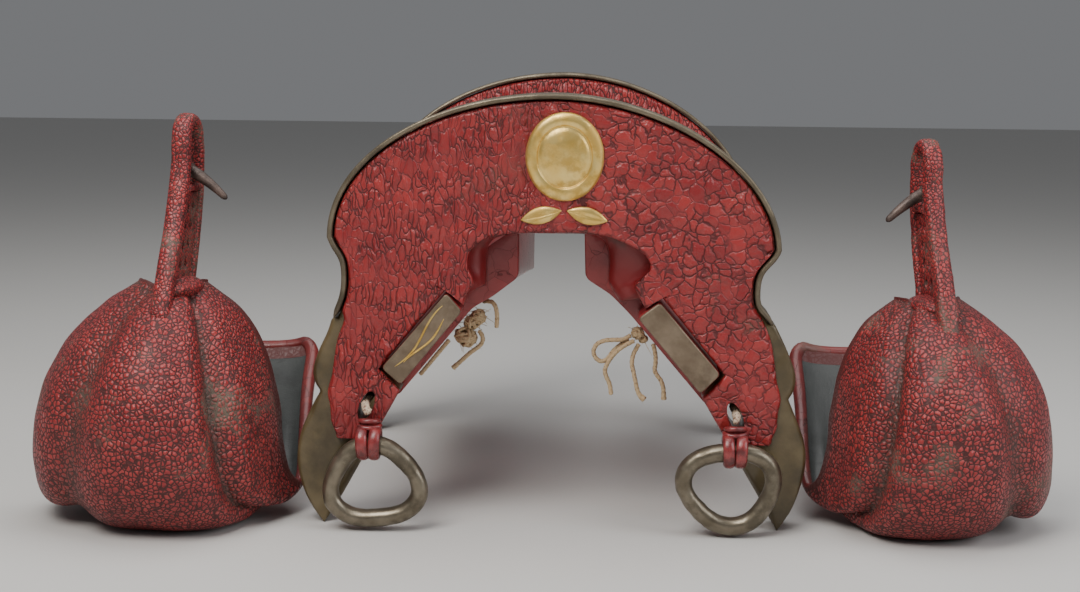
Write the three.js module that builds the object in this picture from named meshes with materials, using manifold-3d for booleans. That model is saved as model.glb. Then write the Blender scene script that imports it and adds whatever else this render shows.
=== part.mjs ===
// Warrior's saddle with its pair of stirrups, standing together on one plane.
// Millimetres, +Z up, X across the saddle, +Y towards its rear arch.
import * as THREE from 'three';
import { mergeVertices } from 'three/addons/utils/BufferGeometryUtils.js';
import Module from 'manifold-3d';

const wasm = await Module();
wasm.setup();

// ---------------------------------------------------------------- driving dimensions
const GAP = 0.3;                      // air between neighbouring pieces
const LEATHER = 3;                    // thickness of the leather panels
const RIM_WIDTH = 3.4;                // edge band, measured across the outline
const RIM_FOOT = 143;                 // height at which the edge band ends
const SET_CENTRE = { x: -8.325, y: 144.553, z: 0.41 };  // middle of the set, and its resting plane

const ARCH_CORE = 26;                 // thickness of an arch board
const COVE_START = 11;                // depth at which the opening narrows
const FRONT = { y: 0, lean: -0.08 };  // lean: millimetres of depth for each one of height
const REAR = { y: 296, lean: 0.1367, wider: 1.02, taller: 7 };

const BOARD = { frontTip: -15, rearTip: 352, spineRear: 136 };
const LEATHER_SLOT = { y: 92, length: 52, width: 13, x: 62, z: 168, tilt: 48 };

const RING = { reach: 29.2, rise: 25, wire: 6, bulge: 0.07, y: -20.5 };
const RING_PLACES = [
  { name: 'left', x: -118.5, z: 32.6, corner: 97 },
  { name: 'right', x: 117.5, z: 34.6, corner: 37 },
];
const HITCH = { slotWidth: 10, slotLength: 23, slotTilt: 22, bandWidth: 7.4, bandRadius: 12, bore: 9.7 };
const HITCH_PLACES = [
  { name: 'left', x: -122, slotX: -125, slotZ: 83, side: -1 },
  { name: 'right', x: 120.5, slotX: 121.5, slotZ: 79, side: 1 },
];

const STIRRUPS = [
  { name: 'left', side: 1, x: -270, y: 20, yaw: 6, half: 85, crown: 164, loopTop: 276, neckSet: 21.5 },
  { name: 'right', side: -1, x: 262, y: 34, yaw: -8, half: 76, crown: 157, loopTop: 264, neckSet: 13.5 },
];
const SHELL = { wall: 4.5, lip: 3, rows: 20, columns: 18, groove: 9 };
const NECK = { twist: -3, rib: 13, panel: 6, pivotU: 30 };
const PRONG = { length: 33, root: 4.2, tip: 2.2, droop: 36, pin: 2, bore: 2.5, eye: 4.6 };

// ---------------------------------------------------------------- finishes
const finish = (color, roughness, metalness = 0) =>
  new THREE.MeshStandardMaterial({ color, roughness, metalness });
const RED_LEATHER = finish(0xa23038, 0.42);
const DARK_LEATHER = finish(0x6d2026, 0.4);
const BROWN_LACQUER = finish(0x7a664a, 0.45);
const EDGE_METAL = finish(0x7c705c, 0.4, 0.7);
const RING_METAL = finish(0x80786a, 0.35, 0.85);
const GILT = finish(0xe0bf66, 0.35, 0.9);
const SLATE = finish(0x4c504f, 0.6);
const TWINE = finish(0xa98a5e, 0.9);
const BRAID = finish(0xc9b59a, 0.9);
const IRON = finish(0x59504c, 0.55, 0.6);

// ---------------------------------------------------------------- solids and booleans
const solid = (geometry) => {
  const bare = geometry.clone();
  bare.deleteAttribute('normal');
  bare.deleteAttribute('uv');
  const merged = mergeVertices(bare, 1e-4);
  return new wasm.Manifold(new wasm.Mesh({
    numProp: 3,
    vertProperties: new Float32Array(merged.attributes.position.array),
    triVerts: new Uint32Array(merged.index.array),
  }));
};

const geometryOf = (manifold) => {
  const mesh = manifold.getMesh();
  const geometry = new THREE.BufferGeometry();
  geometry.setAttribute('position', new THREE.BufferAttribute(new Float32Array(mesh.vertProperties), 3));
  geometry.setIndex(new THREE.BufferAttribute(new Uint32Array(mesh.triVerts), 1));
  geometry.computeVertexNormals();
  return geometry;
};

const joined = (...geometries) =>
  geometryOf(geometries.map(solid).reduce((whole, piece) => whole.add(piece)));

const cut = (geometry, ...tools) =>
  geometryOf(tools.map(solid).reduce((left, tool) => left.subtract(tool), solid(geometry)));

// the largest body, where a cut has left crumbs
const largest = (geometry) =>
  geometryOf(solid(geometry).decompose().sort((a, b) => b.volume() - a.volume())[0]);

const moved = (geometry, place) => {
  const position = geometry.attributes.position;
  const point = new THREE.Vector3();
  for (let i = 0; i < position.count; i += 1) {
    place(point.fromBufferAttribute(position, i));
    position.setXYZ(i, point.x, point.y, point.z);
  }
  return geometry;
};

// leans a piece over: its depth grows with its height
const leaning = (geometry, lean) => moved(geometry, (p) => { p.y += lean * p.z; });

const shapeOf = (points) => new THREE.Shape(points.map(([x, z]) => new THREE.Vector2(x, z)));

// a plate whose outline is drawn in x and z, standing from yFront backwards
const plate = (shape, yFront, thickness, bevel = 0) => {
  const geometry = new THREE.ExtrudeGeometry(shape, {
    depth: thickness - 2 * bevel,
    bevelEnabled: bevel > 0,
    bevelThickness: bevel,
    bevelSize: bevel,
    bevelOffset: -bevel,
    bevelSegments: 1,
    curveSegments: 8,
  });
  geometry.rotateX(Math.PI / 2);
  geometry.translate(0, yFront + thickness - bevel, 0);
  return geometry;
};

// points on a smooth line through a short table of stations
const through = (rows, steps) =>
  new THREE.SplineCurve(rows.map(([x, z]) => new THREE.Vector2(x, z)))
    .getPoints(steps)
    .map((p) => [p.x, p.y]);

const mirrored = (points) => points.map(([x, z]) => [-x, z]);

// moves an open line sideways, to the right of its direction of travel
const inset = (points, distance) => points.map(([x, z], i) => {
  if (i === 0) return [x, z - distance];
  const [ax, az] = points[Math.max(i - 1, 0)];
  const [bx, bz] = points[Math.min(i + 1, points.length - 1)];
  const length = Math.hypot(bx - ax, bz - az);
  return [x + (distance * (bz - az)) / length, z - (distance * (bx - ax)) / length];
});

// ---------------------------------------------------------------- outline of an arch
// Each half is drawn on the right, x outward from the middle plane, z up.
// crown: a quarter of a rounded arch; flank: hand notch and side swell, down to the pinch;
// toe: leaf-shaped foot; leg: inner side of the leg; lobe: the cusped opening; cove: its back.
const CROWN_STEPS = 11;
const crown = ({ half, shoulder, top, power }) => {
  const points = [];
  for (let i = 0; i <= CROWN_STEPS; i += 1) {
    const angle = ((i / CROWN_STEPS) * Math.PI) / 2;
    const x = half * Math.sin(angle) ** (2 / power);
    const z = shoulder + (top - shoulder) * Math.cos(angle) ** (2 / power);
    points.push([x, z]);
  }
  return points;
};

const LEFT_HALF = {
  crown: { half: 149.5, shoulder: 197, top: 292.5, power: 2 },
  flank: [[147, 191], [141.5, 181], [140.5, 169], [142, 158], [147, 145], [151, 133], [157, 120],
    [161, 107], [160, 98], [156.5, 92]],
  toe: [[156.5, 92], [163, 80], [170.5, 62], [173, 44], [170, 26], [163, 10], [155, 0.41]],
  toeInner: [[155, 0.41], [149, 9], [142, 21], [130, 43], [119, 64]],
  notch: [[102.5, 94], [116.5, 108.5], [71.5, 163], [59.5, 152.5]],
  lobe: [[59, 159], [53.5, 168], [57, 178], [56, 188], [48, 196], [36, 200], [16, 201.5]],
  cove: [[47, 160], [46, 176], [45, 190], [36, 197], [16, 199]],
};
const RIGHT_HALF = {
  crown: { half: 148, shoulder: 191.5, top: 292.5, power: 1.86 },
  flank: [[145, 186], [137, 176], [135, 165], [136.5, 155], [143, 147], [150, 134], [156, 121],
    [160.5, 108], [160, 98], [156.5, 91]],
  toe: [[156.5, 91], [162, 78], [168, 62], [169.5, 46], [166, 28], [160, 12], [151.5, 0.41]],
  toeInner: [[151.5, 0.41], [146, 9], [138, 24], [125, 46], [114, 66]],
  notch: [[99, 91.5], [113.5, 107.5], [70.9, 159.8]],
  lobe: [[60, 151.9], [53, 167], [59, 172], [63, 180], [58, 189], [47, 195], [34, 200], [16, 202]],
  cove: [[44, 152], [36, 166], [36, 180], [34, 192], [27, 198], [16, 199]],
};
const PANEL_FLANK = [[139.5, 141], [143.5, 130], [146, 117], [148, 104], [151, 92]];
const PANEL_FOOT = [[149.5, 82], [149, 72], [146.5, 65], [145.5, 60], [133, 60], [121, 63]];
const NOTCH_STEPS = 11;
const TOE_STEPS = 9;
const LOBE_STEPS = 11;

const half = (rows, wider, taller) => {
  const crownLine = crown({ ...rows.crown, top: rows.crown.top + taller });
  const widen = (points) => points.map(([x, z]) => [x * wider, z]);
  const flank = through([crownLine.at(-1), ...rows.flank], NOTCH_STEPS).slice(1);
  return {
    rim: widen([...crownLine, ...flank]),
    toe: widen([...through(rows.toe, TOE_STEPS).slice(1), ...rows.toeInner.slice(1)]),
    panelEdge: widen([...PANEL_FLANK, ...PANEL_FOOT]),
    notch: widen(rows.notch),
    lobe: widen(through(rows.lobe, LOBE_STEPS)),
    cove: widen(through(rows.cove, LOBE_STEPS)),
  };
};

// joins the right half, drawn from the top downwards, to the left half
const outline = (halves, line) =>
  shapeOf([...line(halves.right), ...mirrored(line(halves.left)).reverse()]);

// the edge band: out along the outline, and back along the same line moved inwards
const bandOutline = ({ right, left }, width) => {
  const banded = (h) => h.rim.filter((p) => p[1] > RIM_FOOT).length;
  const outer = (h) => h.rim.slice(0, banded(h));
  const inner = (h) => inset(h.rim, width).slice(0, banded(h));
  return shapeOf([
    ...outer(right).reverse(), ...mirrored(outer(left)).slice(1),
    ...mirrored(inner(left)).reverse(), ...inner(right).slice(1),
  ]);
};

const group = new THREE.Group();
const add = (name, geometry, material, parent = group) => {
  const mesh = new THREE.Mesh(geometry, material);
  mesh.name = name;
  parent.add(mesh);
};
const radians = THREE.MathUtils.degToRad;

// ---------------------------------------------------------------- arches
const hitchHole = ({ side, slotX, slotZ }) => {
  const hole = new THREE.CylinderGeometry(HITCH.slotWidth / 2, HITCH.slotWidth / 2, 120, 12);
  hole.scale(1, 1, HITCH.slotLength / HITCH.slotWidth);
  hole.rotateY(radians(-side * HITCH.slotTilt));
  hole.translate(slotX, 0, slotZ);
  return hole;
};

function addArch(label, { y, lean, wider = 1, taller = 0 }, holes) {
  const halves = { right: half(RIGHT_HALF, wider, taller), left: half(LEFT_HALF, wider, taller) };
  const seat = RIM_WIDTH + GAP;
  const edge = (h) => inset(h.rim, seat).map((p, i) => (h.rim[i][1] > RIM_FOOT ? p : h.rim[i]));
  const panelTop = (h) => inset(h.rim, seat + 0.8).filter((p, i) => i <= CROWN_STEPS || p[1] > 148);
  const face = outline(halves, (h) => [...edge(h), ...h.toe, ...h.notch, ...h.lobe]);
  const back = outline(halves, (h) => [...edge(h), ...h.toe, ...h.notch, ...h.cove]);
  const panel = outline(halves, (h) => [...panelTop(h), ...h.panelEdge, ...h.notch, ...h.lobe]);
  const backPanel = outline(halves, (h) => [...panelTop(h), ...h.panelEdge, ...h.notch, ...h.cove]);
  const core = joined(
    plate(face, y, COVE_START + 1),
    plate(back, y + COVE_START, ARCH_CORE - COVE_START),
  );
  const pieces = [
    { part: 'core', geometry: core, material: BROWN_LACQUER },
    { part: 'leather', geometry: plate(panel, y - GAP - LEATHER, LEATHER, 1), material: RED_LEATHER },
    { part: 'inner_leather', geometry: plate(backPanel, y + ARCH_CORE + GAP, LEATHER),
      material: RED_LEATHER },
    { part: 'rim', geometry: plate(bandOutline(halves, RIM_WIDTH), y - LEATHER - 2,
      ARCH_CORE + 2 * LEATHER + 4), material: EDGE_METAL },
  ];
  for (const { part, geometry, material } of pieces) {
    const pierced = part !== 'rim' && holes.length > 0 ? cut(geometry, ...holes) : geometry;
    add(`${label}_${part}`, leaning(pierced, lean), material);
  }
}
addArch('front_arch', FRONT, HITCH_PLACES.map(hitchHole));
addArch('rear_arch', REAR, []);

// ---------------------------------------------------------------- seat boards
// Section of a board, x outward and z up: from the spine over its top, down the flank,
// then back along its underside. The last rows give the underside beside the spine.
const BOARD_SECTION = {
  left: { top: [[25, 203], [50, 186]], tip: [[70.8, 161.8], [115, 109.5], [102, 98], [60, 149.5]],
    under: [[43, 154], [25, 168]] },
  right: { top: [[19, 203], [48, 184]], tip: [[69, 157.5], [111, 108.5], [98, 95], [54.5, 146.5]],
    under: [[37, 157], [20, 168]] },
};
const FLAP = 15;                      // how far the flank reaches down between the arches
const UNDER = 5;                      // how much thicker a board is than its tips, underneath
const SEAT_END = LEATHER + 2 * GAP;   // arch face to board end

const flapRows = ([upper, outer, inner, lower]) => {
  const length = Math.hypot(outer[0] - upper[0], outer[1] - upper[1]);
  const [ax, az] = [(outer[0] - upper[0]) / length, (outer[1] - upper[1]) / length];
  const shifted = ([x, z], down, under) => [x + ax * down + az * under, z + az * down - ax * under];
  return [upper, shifted(outer, FLAP, 0), shifted(inner, FLAP, UNDER), shifted(lower, 0, UNDER)];
};

function boardGeometry(side, { top, tip, under }) {
  const turn = (rows) => (side > 0 ? rows : mirrored(rows));
  const seat = { front: ARCH_CORE + SEAT_END, rear: REAR.y - SEAT_END };
  const body = plate(shapeOf(turn([...top, ...flapRows(tip), ...under])), 0, 1);
  const [spineX, spineZ] = under[1];
  moved(body, (p) => {
    const along = p.y;                // 0 at the front end, 1 at the rear end
    const isSpine = Math.abs(Math.abs(p.x) - spineX) < 0.5 && Math.abs(p.z - spineZ) < 0.5;
    if (isSpine) p.z += (BOARD.spineRear - spineZ) * along;
    const front = seat.front + FRONT.lean * p.z;
    const rear = seat.rear + REAR.lean * p.z;
    const wider = isSpine || Math.abs(p.x) < 26 ? 1 : 1 + (REAR.wider - 1) * along;
    p.x *= wider;
    p.y = front + (rear - front) * along;
  });
  const centre = tip.reduce(([x, z], row) => [x + row[0] / 4, z + row[1] / 4], [0, 0]);
  const shrink = ([x, z], wider) => [
    (centre[0] + (x - centre[0]) * 0.985) * wider, centre[1] + (z - centre[1]) * 0.985];
  const end = (wider, from, to) =>
    plate(shapeOf(turn(tip.map((row) => shrink(row, wider)))), from, to - from, 1.2);
  const front = end(1, BOARD.frontTip, seat.front + 20);
  const rear = end(REAR.wider, seat.rear - 6, BOARD.rearTip);
  const slot = new THREE.BoxGeometry(60, LEATHER_SLOT.length, LEATHER_SLOT.width);
  slot.rotateY(radians(side * (LEATHER_SLOT.tilt - 90)));
  slot.translate(side * LEATHER_SLOT.x, LEATHER_SLOT.y, LEATHER_SLOT.z);
  return cut(joined(body, front, rear), slot);
}
add('seat_board_left', boardGeometry(-1, BOARD_SECTION.left), RED_LEATHER);
add('seat_board_right', boardGeometry(1, BOARD_SECTION.right), RED_LEATHER);

// ---------------------------------------------------------------- gilt ornament
const BOSS = { x: 6, z: 252, wide: 25.5, tall: 29 };
const BOSS_PROFILE = [[0, 5.4], [9, 5], [16, 3.6], [19.5, 2.2], [21, 3.4], [24, 3.8], [27, 2.6], [29, 0]];
const LEAVES = [{ name: 'left', x: -9, z: 213.5, tilt: -14 }, { name: 'right', x: 21, z: 213.5, tilt: 14 }];
const LEAF = { length: 28, width: 11.5, thickness: 2.6 };
const ornamentY = FRONT.y - LEATHER - 2 * GAP;

const boss = new THREE.LatheGeometry([[0, 0], ...BOSS_PROFILE.reverse()].map(([r, h]) => new THREE.Vector2(r, h)), 24);
boss.rotateX(Math.PI);
boss.scale(BOSS.wide / 29, 1, BOSS.tall / 29);
boss.translate(BOSS.x, ornamentY, BOSS.z);
add('gilt_boss', leaning(boss, FRONT.lean), GILT);

const leafOutline = new THREE.Shape();
leafOutline.moveTo(-LEAF.length / 2, 0);
leafOutline.quadraticCurveTo(0, LEAF.width, LEAF.length / 2, 0);
leafOutline.quadraticCurveTo(0, -LEAF.width, -LEAF.length / 2, 0);
for (const { name, x, z, tilt } of LEAVES) {
  const leaf = plate(leafOutline, 0, LEAF.thickness, 0.7);
  leaf.rotateY(radians(tilt));
  leaf.translate(x, ornamentY - LEAF.thickness, z);
  add(`gilt_leaf_${name}`, leaning(leaf, FRONT.lean), GILT);
}

// ---------------------------------------------------------------- rings and their hitches
// The wire's middle line is a circle pressed towards a rounded triangle.
const ringRadius = (angle, corner) => 1 + RING.bulge * Math.cos(3 * (angle - radians(corner)));
for (const { name, x, z, corner } of RING_PLACES) {
  const ring = new THREE.TorusGeometry(1, 0.2, 8, 28);
  moved(ring, (p) => {
    const angle = Math.atan2(p.y, p.x);
    const outward = (Math.hypot(p.x, p.y) - 1) / 0.2;
    const reach = ringRadius(angle, corner);
    const wireX = Math.cos(angle) * (RING.reach * reach + RING.wire * outward);
    const wireZ = Math.sin(angle) * (RING.rise * reach + RING.wire * outward);
    p.set(wireX, -RING.wire * (p.z / 0.2), wireZ);
  });
  ring.translate(x, RING.y, z);
  add(`ring_${name}`, ring, RING_METAL);
}


// Each hitch is a braided thong through the leg and two bands of leather round the ring's wire.
function bandGeometry(x, y, z) {
  const { bandRadius: outer, bore, bandWidth: width } = HITCH;
  const rows = [[bore, -width / 2], [outer - 1, -width / 2], [outer, 1 - width / 2], [outer, width / 2 - 1],
    [outer - 1, width / 2], [bore, width / 2], [bore, -width / 2]];
  const band = new THREE.LatheGeometry(rows.map(([r, h]) => new THREE.Vector2(r, h)), 14);
  band.rotateZ(Math.PI / 2);
  band.translate(x, y, z);
  return band;
}
for (const { name, x, slotX, slotZ, side } of HITCH_PLACES) {
  const ring = RING_PLACES.find((place) => place.name === name);
  const top = Math.PI / 2;
  const wireZ = ring.z + RING.rise * ringRadius(top, ring.corner);
  const knot = new THREE.BoxGeometry(2 * HITCH.bandWidth + 3, 10, 9, 1, 1, 1);
  knot.translate(x, RING.y + 2, wireZ + HITCH.bandRadius + 2);
  const bands = [-1, 1].map((k) => bandGeometry(x + k * (HITCH.bandWidth / 2 + 0.6), RING.y, wireZ));
  add(`hitch_binding_${name}`, joined(...bands, knot), DARK_LEATHER);

  const leanY = (z) => FRONT.y + FRONT.lean * z;
  const knotTop = wireZ + HITCH.bandRadius + 7.6 + 5 * GAP;
  const route = new THREE.CatmullRomCurve3([
    new THREE.Vector3(x, RING.y + 2, knotTop),
    new THREE.Vector3(x + (slotX - x) * 0.5, RING.y + 2.5, (knotTop + slotZ) / 2),
    new THREE.Vector3(slotX + side * 0.5, leanY(slotZ) - 4, slotZ + 1),
    new THREE.Vector3(slotX, leanY(slotZ) + 8, slotZ + 3),
    new THREE.Vector3(slotX, leanY(slotZ) + 22, slotZ + 3),
  ]);
  const section = new THREE.Shape();
  section.absellipse(0, 0, 2.4, 3.2, 0, 2 * Math.PI, false, 0);
  const thong = new THREE.ExtrudeGeometry(section, { steps: 12, extrudePath: route, curveSegments: 4 });
  add(`hitch_thong_${name}`, thong, BRAID);
}

// ---------------------------------------------------------------- twine that ties the boards
// Each knot is a few merged lumps, [x, y, z, radius].
const KNOTS = [
  { name: 'left', lumps: [[-61.5, 30, 124.8, 8.3], [-53, 30, 138.5, 6], [-57.5, 30, 134.3, 5.7]] },
  { name: 'right', lumps: [[56.2, 30, 128.8, 4.8], [60, 32, 124.6, 3.6]] },
];
const TWINE_RADIUS = 1.5;
// Loose ends, each a hand-laid route from its knot: x, y, z.
const TWINE_ENDS = [
  { name: 'left_a', route: [[-50, 44, 147.2], [-48.5, 38, 148.4], [-46, 32, 149], [-43, 29, 148.6],
    [-40.8, 28, 145], [-40, 28, 139], [-40.3, 28, 131.7]] },
  { name: 'left_b', route: [[-52.2, 28.5, 129], [-50.2, 28, 126], [-49.7, 28, 122.5], [-51.3, 28, 119.3],
    [-54.5, 28, 116.6], [-58.5, 28, 113.6], [-63.5, 28, 109], [-70, 28, 103]] },
  { name: 'left_c', route: [[-72.9, 28, 122.3], [-76.4, 28, 118], [-82.7, 28, 110.3], [-87.8, 28, 104],
    [-92.5, 28.5, 98.2]] },
  { name: 'right_a', route: [[51.3, 28, 127.5], [46, 27, 124.9], [40, 26.5, 124.6], [34, 26.5, 124],
    [28.6, 27, 121.4], [26.2, 28, 116.4], [27.9, 28.5, 111.4], [31.8, 29, 109.2], [35.8, 29.5, 111],
    [39.5, 30, 116], [44.2, 30.5, 120.3], [49.8, 31, 124]] },
  { name: 'right_b', route: [[53.5, 25, 124.3], [48, 24, 121.5], [43, 24, 118], [39, 24.5, 113.5],
    [36, 25.3, 108.8], [34.2, 26, 103.6], [35.2, 26.5, 99], [37.4, 27, 94], [38.7, 27, 86.7]] },
  { name: 'right_c', route: [[57, 29, 121.3], [55.2, 29, 118], [53.3, 28.5, 113.8], [52.5, 28, 108.1],
    [53.8, 28, 102], [55, 28, 96.5], [56.5, 28, 90], [58.5, 28, 86], [61.5, 28, 83.2]] },
  { name: 'right_d', route: [[66.8, 28.5, 121.6], [67.6, 28, 118.5], [68.6, 28, 113.5], [68.6, 28, 108],
    [68.2, 28, 103.8], [70, 28, 100], [72.6, 28, 96.5], [74.3, 28, 91], [74.8, 28, 83.5]] },
];
const lump = ([x, y, z, radius]) => new THREE.SphereGeometry(radius, 14, 10).translate(x, y, z);
for (const { name, lumps } of KNOTS) add(`twine_knot_${name}`, joined(...lumps.map(lump)), TWINE);
for (const { name, route } of TWINE_ENDS) {
  const path = new THREE.CatmullRomCurve3(route.map((row) => new THREE.Vector3(...row)));
  const section = new THREE.Shape();
  for (let i = 0; i < 8; i += 1) {
    const angle = (i * Math.PI) / 4;
    const [a, b] = [TWINE_RADIUS * Math.cos(angle), TWINE_RADIUS * Math.sin(angle)];
    if (i === 0) section.moveTo(a, b);
    else section.lineTo(a, b);
  }
  add(`twine_end_${name}`, new THREE.ExtrudeGeometry(section, { steps: 12, extrudePath: path }), TWINE);
}

// ---------------------------------------------------------------- stirrup shell
// Stations from the tail of the foot bed, under the belly, up the breast to the crown.
// keel and rim are places in the side view, u towards the toe and z up; half is the half width
// as a share of the hood's, square the roundness of the section, and drift the sideways set of
// the edge that faces the saddle.
const STATIONS = [
  { keel: [-136, 92], rim: [-137, 100], half: 0.52, square: 3.0, drift: 32 },
  { keel: [-95, 60], rim: [-96, 70], half: 0.59, square: 3.0, drift: 31 },
  { keel: [-50, 28], rim: [-52, 40], half: 0.74, square: 2.8, drift: 27 },
  { keel: [-8, 7], rim: [-18, 22], half: 0.92, square: 2.8, drift: 18 },
  { keel: [30, 0.4], rim: [-6, 30], half: 0.99, square: 2.8, drift: 6 },
  { keel: [66, 6], rim: [-6, 50], half: 1.0, square: 2.7, drift: 0 },
  { keel: [92, 34], rim: [-8, 76], half: 0.98, square: 2.5, drift: -1 },
  { keel: [98, 78], rim: [-9, 102], half: 0.9, square: 2.3, drift: 0 },
  { keel: [86, 116], rim: [-9, 126], half: 0.73, square: 2.15, drift: 5 },
  { keel: [62, 146], rim: [-6, 146], half: 0.46, square: 2.1, drift: 14 },
  { keel: [38, 164], rim: [2, 162], half: 0.16, square: 2.0, drift: 21 },
].map((s) => [...s.keel, ...s.rim, s.half, s.square, s.drift]);
// how far the keel leans towards the saddle, and how deep the two grooves are, tail to crown
const KEEL_DRIFT = [0, 0, 4, 9, 12, 12, 12, 11, 10, 9, 8];
const GROOVE_DEPTH = [0, 0, 0.15, 0.7, 1, 1, 1, 1, 0.9, 0.7, 0.35];
const GROOVES = { outer: 0.33, inner: 0.52, softWidth: 0.13, sharpWidth: 0.09 };

const catmull = (a, b, c, d, f) => 0.5 * (2 * b + (c - a) * f + (2 * a - 5 * b + 4 * c - d) * f ** 2
  + (3 * b - a - 3 * c + d) * f ** 3);
const along = (values, t) => {
  const last = values.length - 1;
  const x = Math.min(Math.max(t, 0), 1) * last;
  const i = Math.min(Math.floor(x), last - 1);
  const before = i > 0 ? values[i - 1] : 2 * values[i] - values[i + 1];
  const after = i + 2 <= last ? values[i + 2] : 2 * values[i + 1] - values[i];
  return catmull(before, values[i], values[i + 1], after, x - i);
};
const column = (k) => STATIONS.map((row) => row[k]);
const [KEEL_U, KEEL_Z, RIM_U, RIM_Z, HALF, SQUARE, DRIFT] = [0, 1, 2, 3, 4, 5, 6].map(column);

// a point of the plain outer form: t from tail to crown, s from the outer edge (-1) to the
// edge that faces the saddle (+1); x is sideways, y backwards, z up, in the stirrup's own frame
const CROWN = 164;
const CROWN_FOOT = 100;
const lowered = (z, crown) => (z < CROWN_FOOT ? z
  : CROWN_FOOT + ((z - CROWN_FOOT) * (crown - CROWN_FOOT)) / (CROWN - CROWN_FOOT));
const plainPoint = ({ half: width, side, crown }, t, s) => {
  const angle = (s * Math.PI) / 2;
  const power = 2 / along(SQUARE, t);
  const inward = 1 - Math.cos(angle) ** power;
  const sideways = Math.sign(s) * Math.abs(Math.sin(angle)) ** power;
  const u = along(KEEL_U, t) + (along(RIM_U, t) - along(KEEL_U, t)) * inward;
  const z = along(KEEL_Z, t) + (along(RIM_Z, t) - along(KEEL_Z, t)) * inward;
  const drift = along(DRIFT, t) * (0.5 + 0.5 * s) + along(KEEL_DRIFT, t) * (1 - sideways ** 2);
  return new THREE.Vector3(side * (along(HALF, t) * width * sideways + drift), -u, lowered(z, crown));
};
const outwardAt = (spec, t, s) => {
  const d = 0.004;
  const alongT = plainPoint(spec, Math.min(t + d, 1), s).sub(plainPoint(spec, Math.max(t - d, 0), s));
  const alongS = plainPoint(spec, t, Math.min(s + d, 0.999)).sub(plainPoint(spec, t, Math.max(s - d, -0.999)));
  return alongS.cross(alongT).normalize().multiplyScalar(spec.side);
};
const grooveAt = (t, s) => {
  const soft = Math.exp(-(((s + GROOVES.outer) / GROOVES.softWidth) ** 2));
  const sharp = Math.exp(-(((s - GROOVES.inner) / GROOVES.sharpWidth) ** 2));
  return SHELL.groove * along(GROOVE_DEPTH, t) * (soft + sharp);
};
const skinPoint = (spec, t, s, depth) =>
  plainPoint(spec, t, s).addScaledVector(outwardAt(spec, t, s), -(grooveAt(t, s) + depth));
const wallAt = (t, s) => {
  const fromEdge = Math.min(1 - Math.abs(s), t * 3.2);
  return SHELL.wall + SHELL.lip * Math.exp(-((fromEdge / 0.07) ** 2));
};

// a closed sheet between two faces, each given as a function of t and s
function sheet([t0, t1, rows], [s0, s1, columns], outerFace, innerFace) {
  const points = [];
  for (const face of [outerFace, innerFace]) {
    for (let i = 0; i <= rows; i += 1) {
      for (let j = 0; j <= columns; j += 1) {
        points.push(face(t0 + ((t1 - t0) * i) / rows, s0 + ((s1 - s0) * j) / columns));
      }
    }
  }
  const at = (face, i, j) => face * (rows + 1) * (columns + 1) + i * (columns + 1) + j;
  const index = [];
  const quad = (a, b, c, d) => index.push(a, b, c, a, c, d);
  for (let i = 0; i < rows; i += 1) {
    for (let j = 0; j < columns; j += 1) {
      quad(at(0, i, j), at(0, i + 1, j), at(0, i + 1, j + 1), at(0, i, j + 1));
      quad(at(1, i, j), at(1, i, j + 1), at(1, i + 1, j + 1), at(1, i + 1, j));
    }
  }
  for (let i = 0; i < rows; i += 1) {
    quad(at(0, i, 0), at(1, i, 0), at(1, i + 1, 0), at(0, i + 1, 0));
    quad(at(0, i, columns), at(0, i + 1, columns), at(1, i + 1, columns), at(1, i, columns));
  }
  for (let j = 0; j < columns; j += 1) {
    quad(at(0, 0, j), at(0, 0, j + 1), at(1, 0, j + 1), at(1, 0, j));
    quad(at(0, rows, j), at(1, rows, j), at(1, rows, j + 1), at(0, rows, j + 1));
  }
  const geometry = new THREE.BufferGeometry().setFromPoints(points);
  geometry.setIndex(index);
  geometry.computeVertexNormals();
  return geometry;
}
const reversed = (geometry) => {
  const index = geometry.index.array;
  for (let i = 0; i < index.length; i += 3) [index[i], index[i + 1]] = [index[i + 1], index[i]];
  return geometry;
};
const EDGE_S = 0.995;
const shellGeometry = (spec, outerDepth, innerDepth) => {
  const geometry = sheet(
    [0, 1, SHELL.rows], [-EDGE_S, EDGE_S, SHELL.columns],
    (t, s) => skinPoint(spec, t, s, outerDepth),
    (t, s) => skinPoint(spec, t, s, innerDepth(t, s)),
  );
  return spec.side > 0 ? reversed(geometry) : geometry;
};

// ---------------------------------------------------------------- stirrup neck
// Side view, u towards the toe and z up, for a loop whose top is at NECK_TOP.
const NECK_BASE = 160;
const NECK_TOP = 276;
const NECK_FRONT = [[60, 143], [46, 181], [31, 211], [21, 240], [19.5, 258]];
const NECK_REAR = [[-12, 258], [-13, 238], [-9.5, 211], [-1, 181], [7, 158]];
const LOOP = { u: 3.75, z: 258, radius: 15.75, rise: 18, windowRadius: 6.5, windowRise: 9 };
const WINDOW = [[11, 228], [10.3, 258]];
const WINDOW_REAR = [[-4, 258], [-6.5, 228]];
const FIELD = [[11.5, 223], [-6, 223], [-2.5, 211], [6, 181], [14, 157]];
const FIELD_FRONT = [[48, 157], [35, 181], [20, 211]];
const PIERCING = { rows: 4, lean: -0.405, tall: 10, wide: 6, pitch: 12.5, across: 9, u: 22.7, z: 176 };

const heightOf = ({ crown, loopTop }, z) => {
  const base = NECK_BASE + crown - CROWN;
  const stretch = z < NECK_BASE ? 1 : (loopTop - base) / (NECK_TOP - NECK_BASE);
  return base + (z - NECK_BASE) * stretch;
};
const loopArc = (radius, rise, steps) => {
  const points = [];
  for (let i = 1; i < steps; i += 1) {
    const angle = (Math.PI * i) / steps;
    points.push([LOOP.u + radius * Math.cos(angle), LOOP.z + rise * Math.sin(angle)]);
  }
  return points;
};
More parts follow.
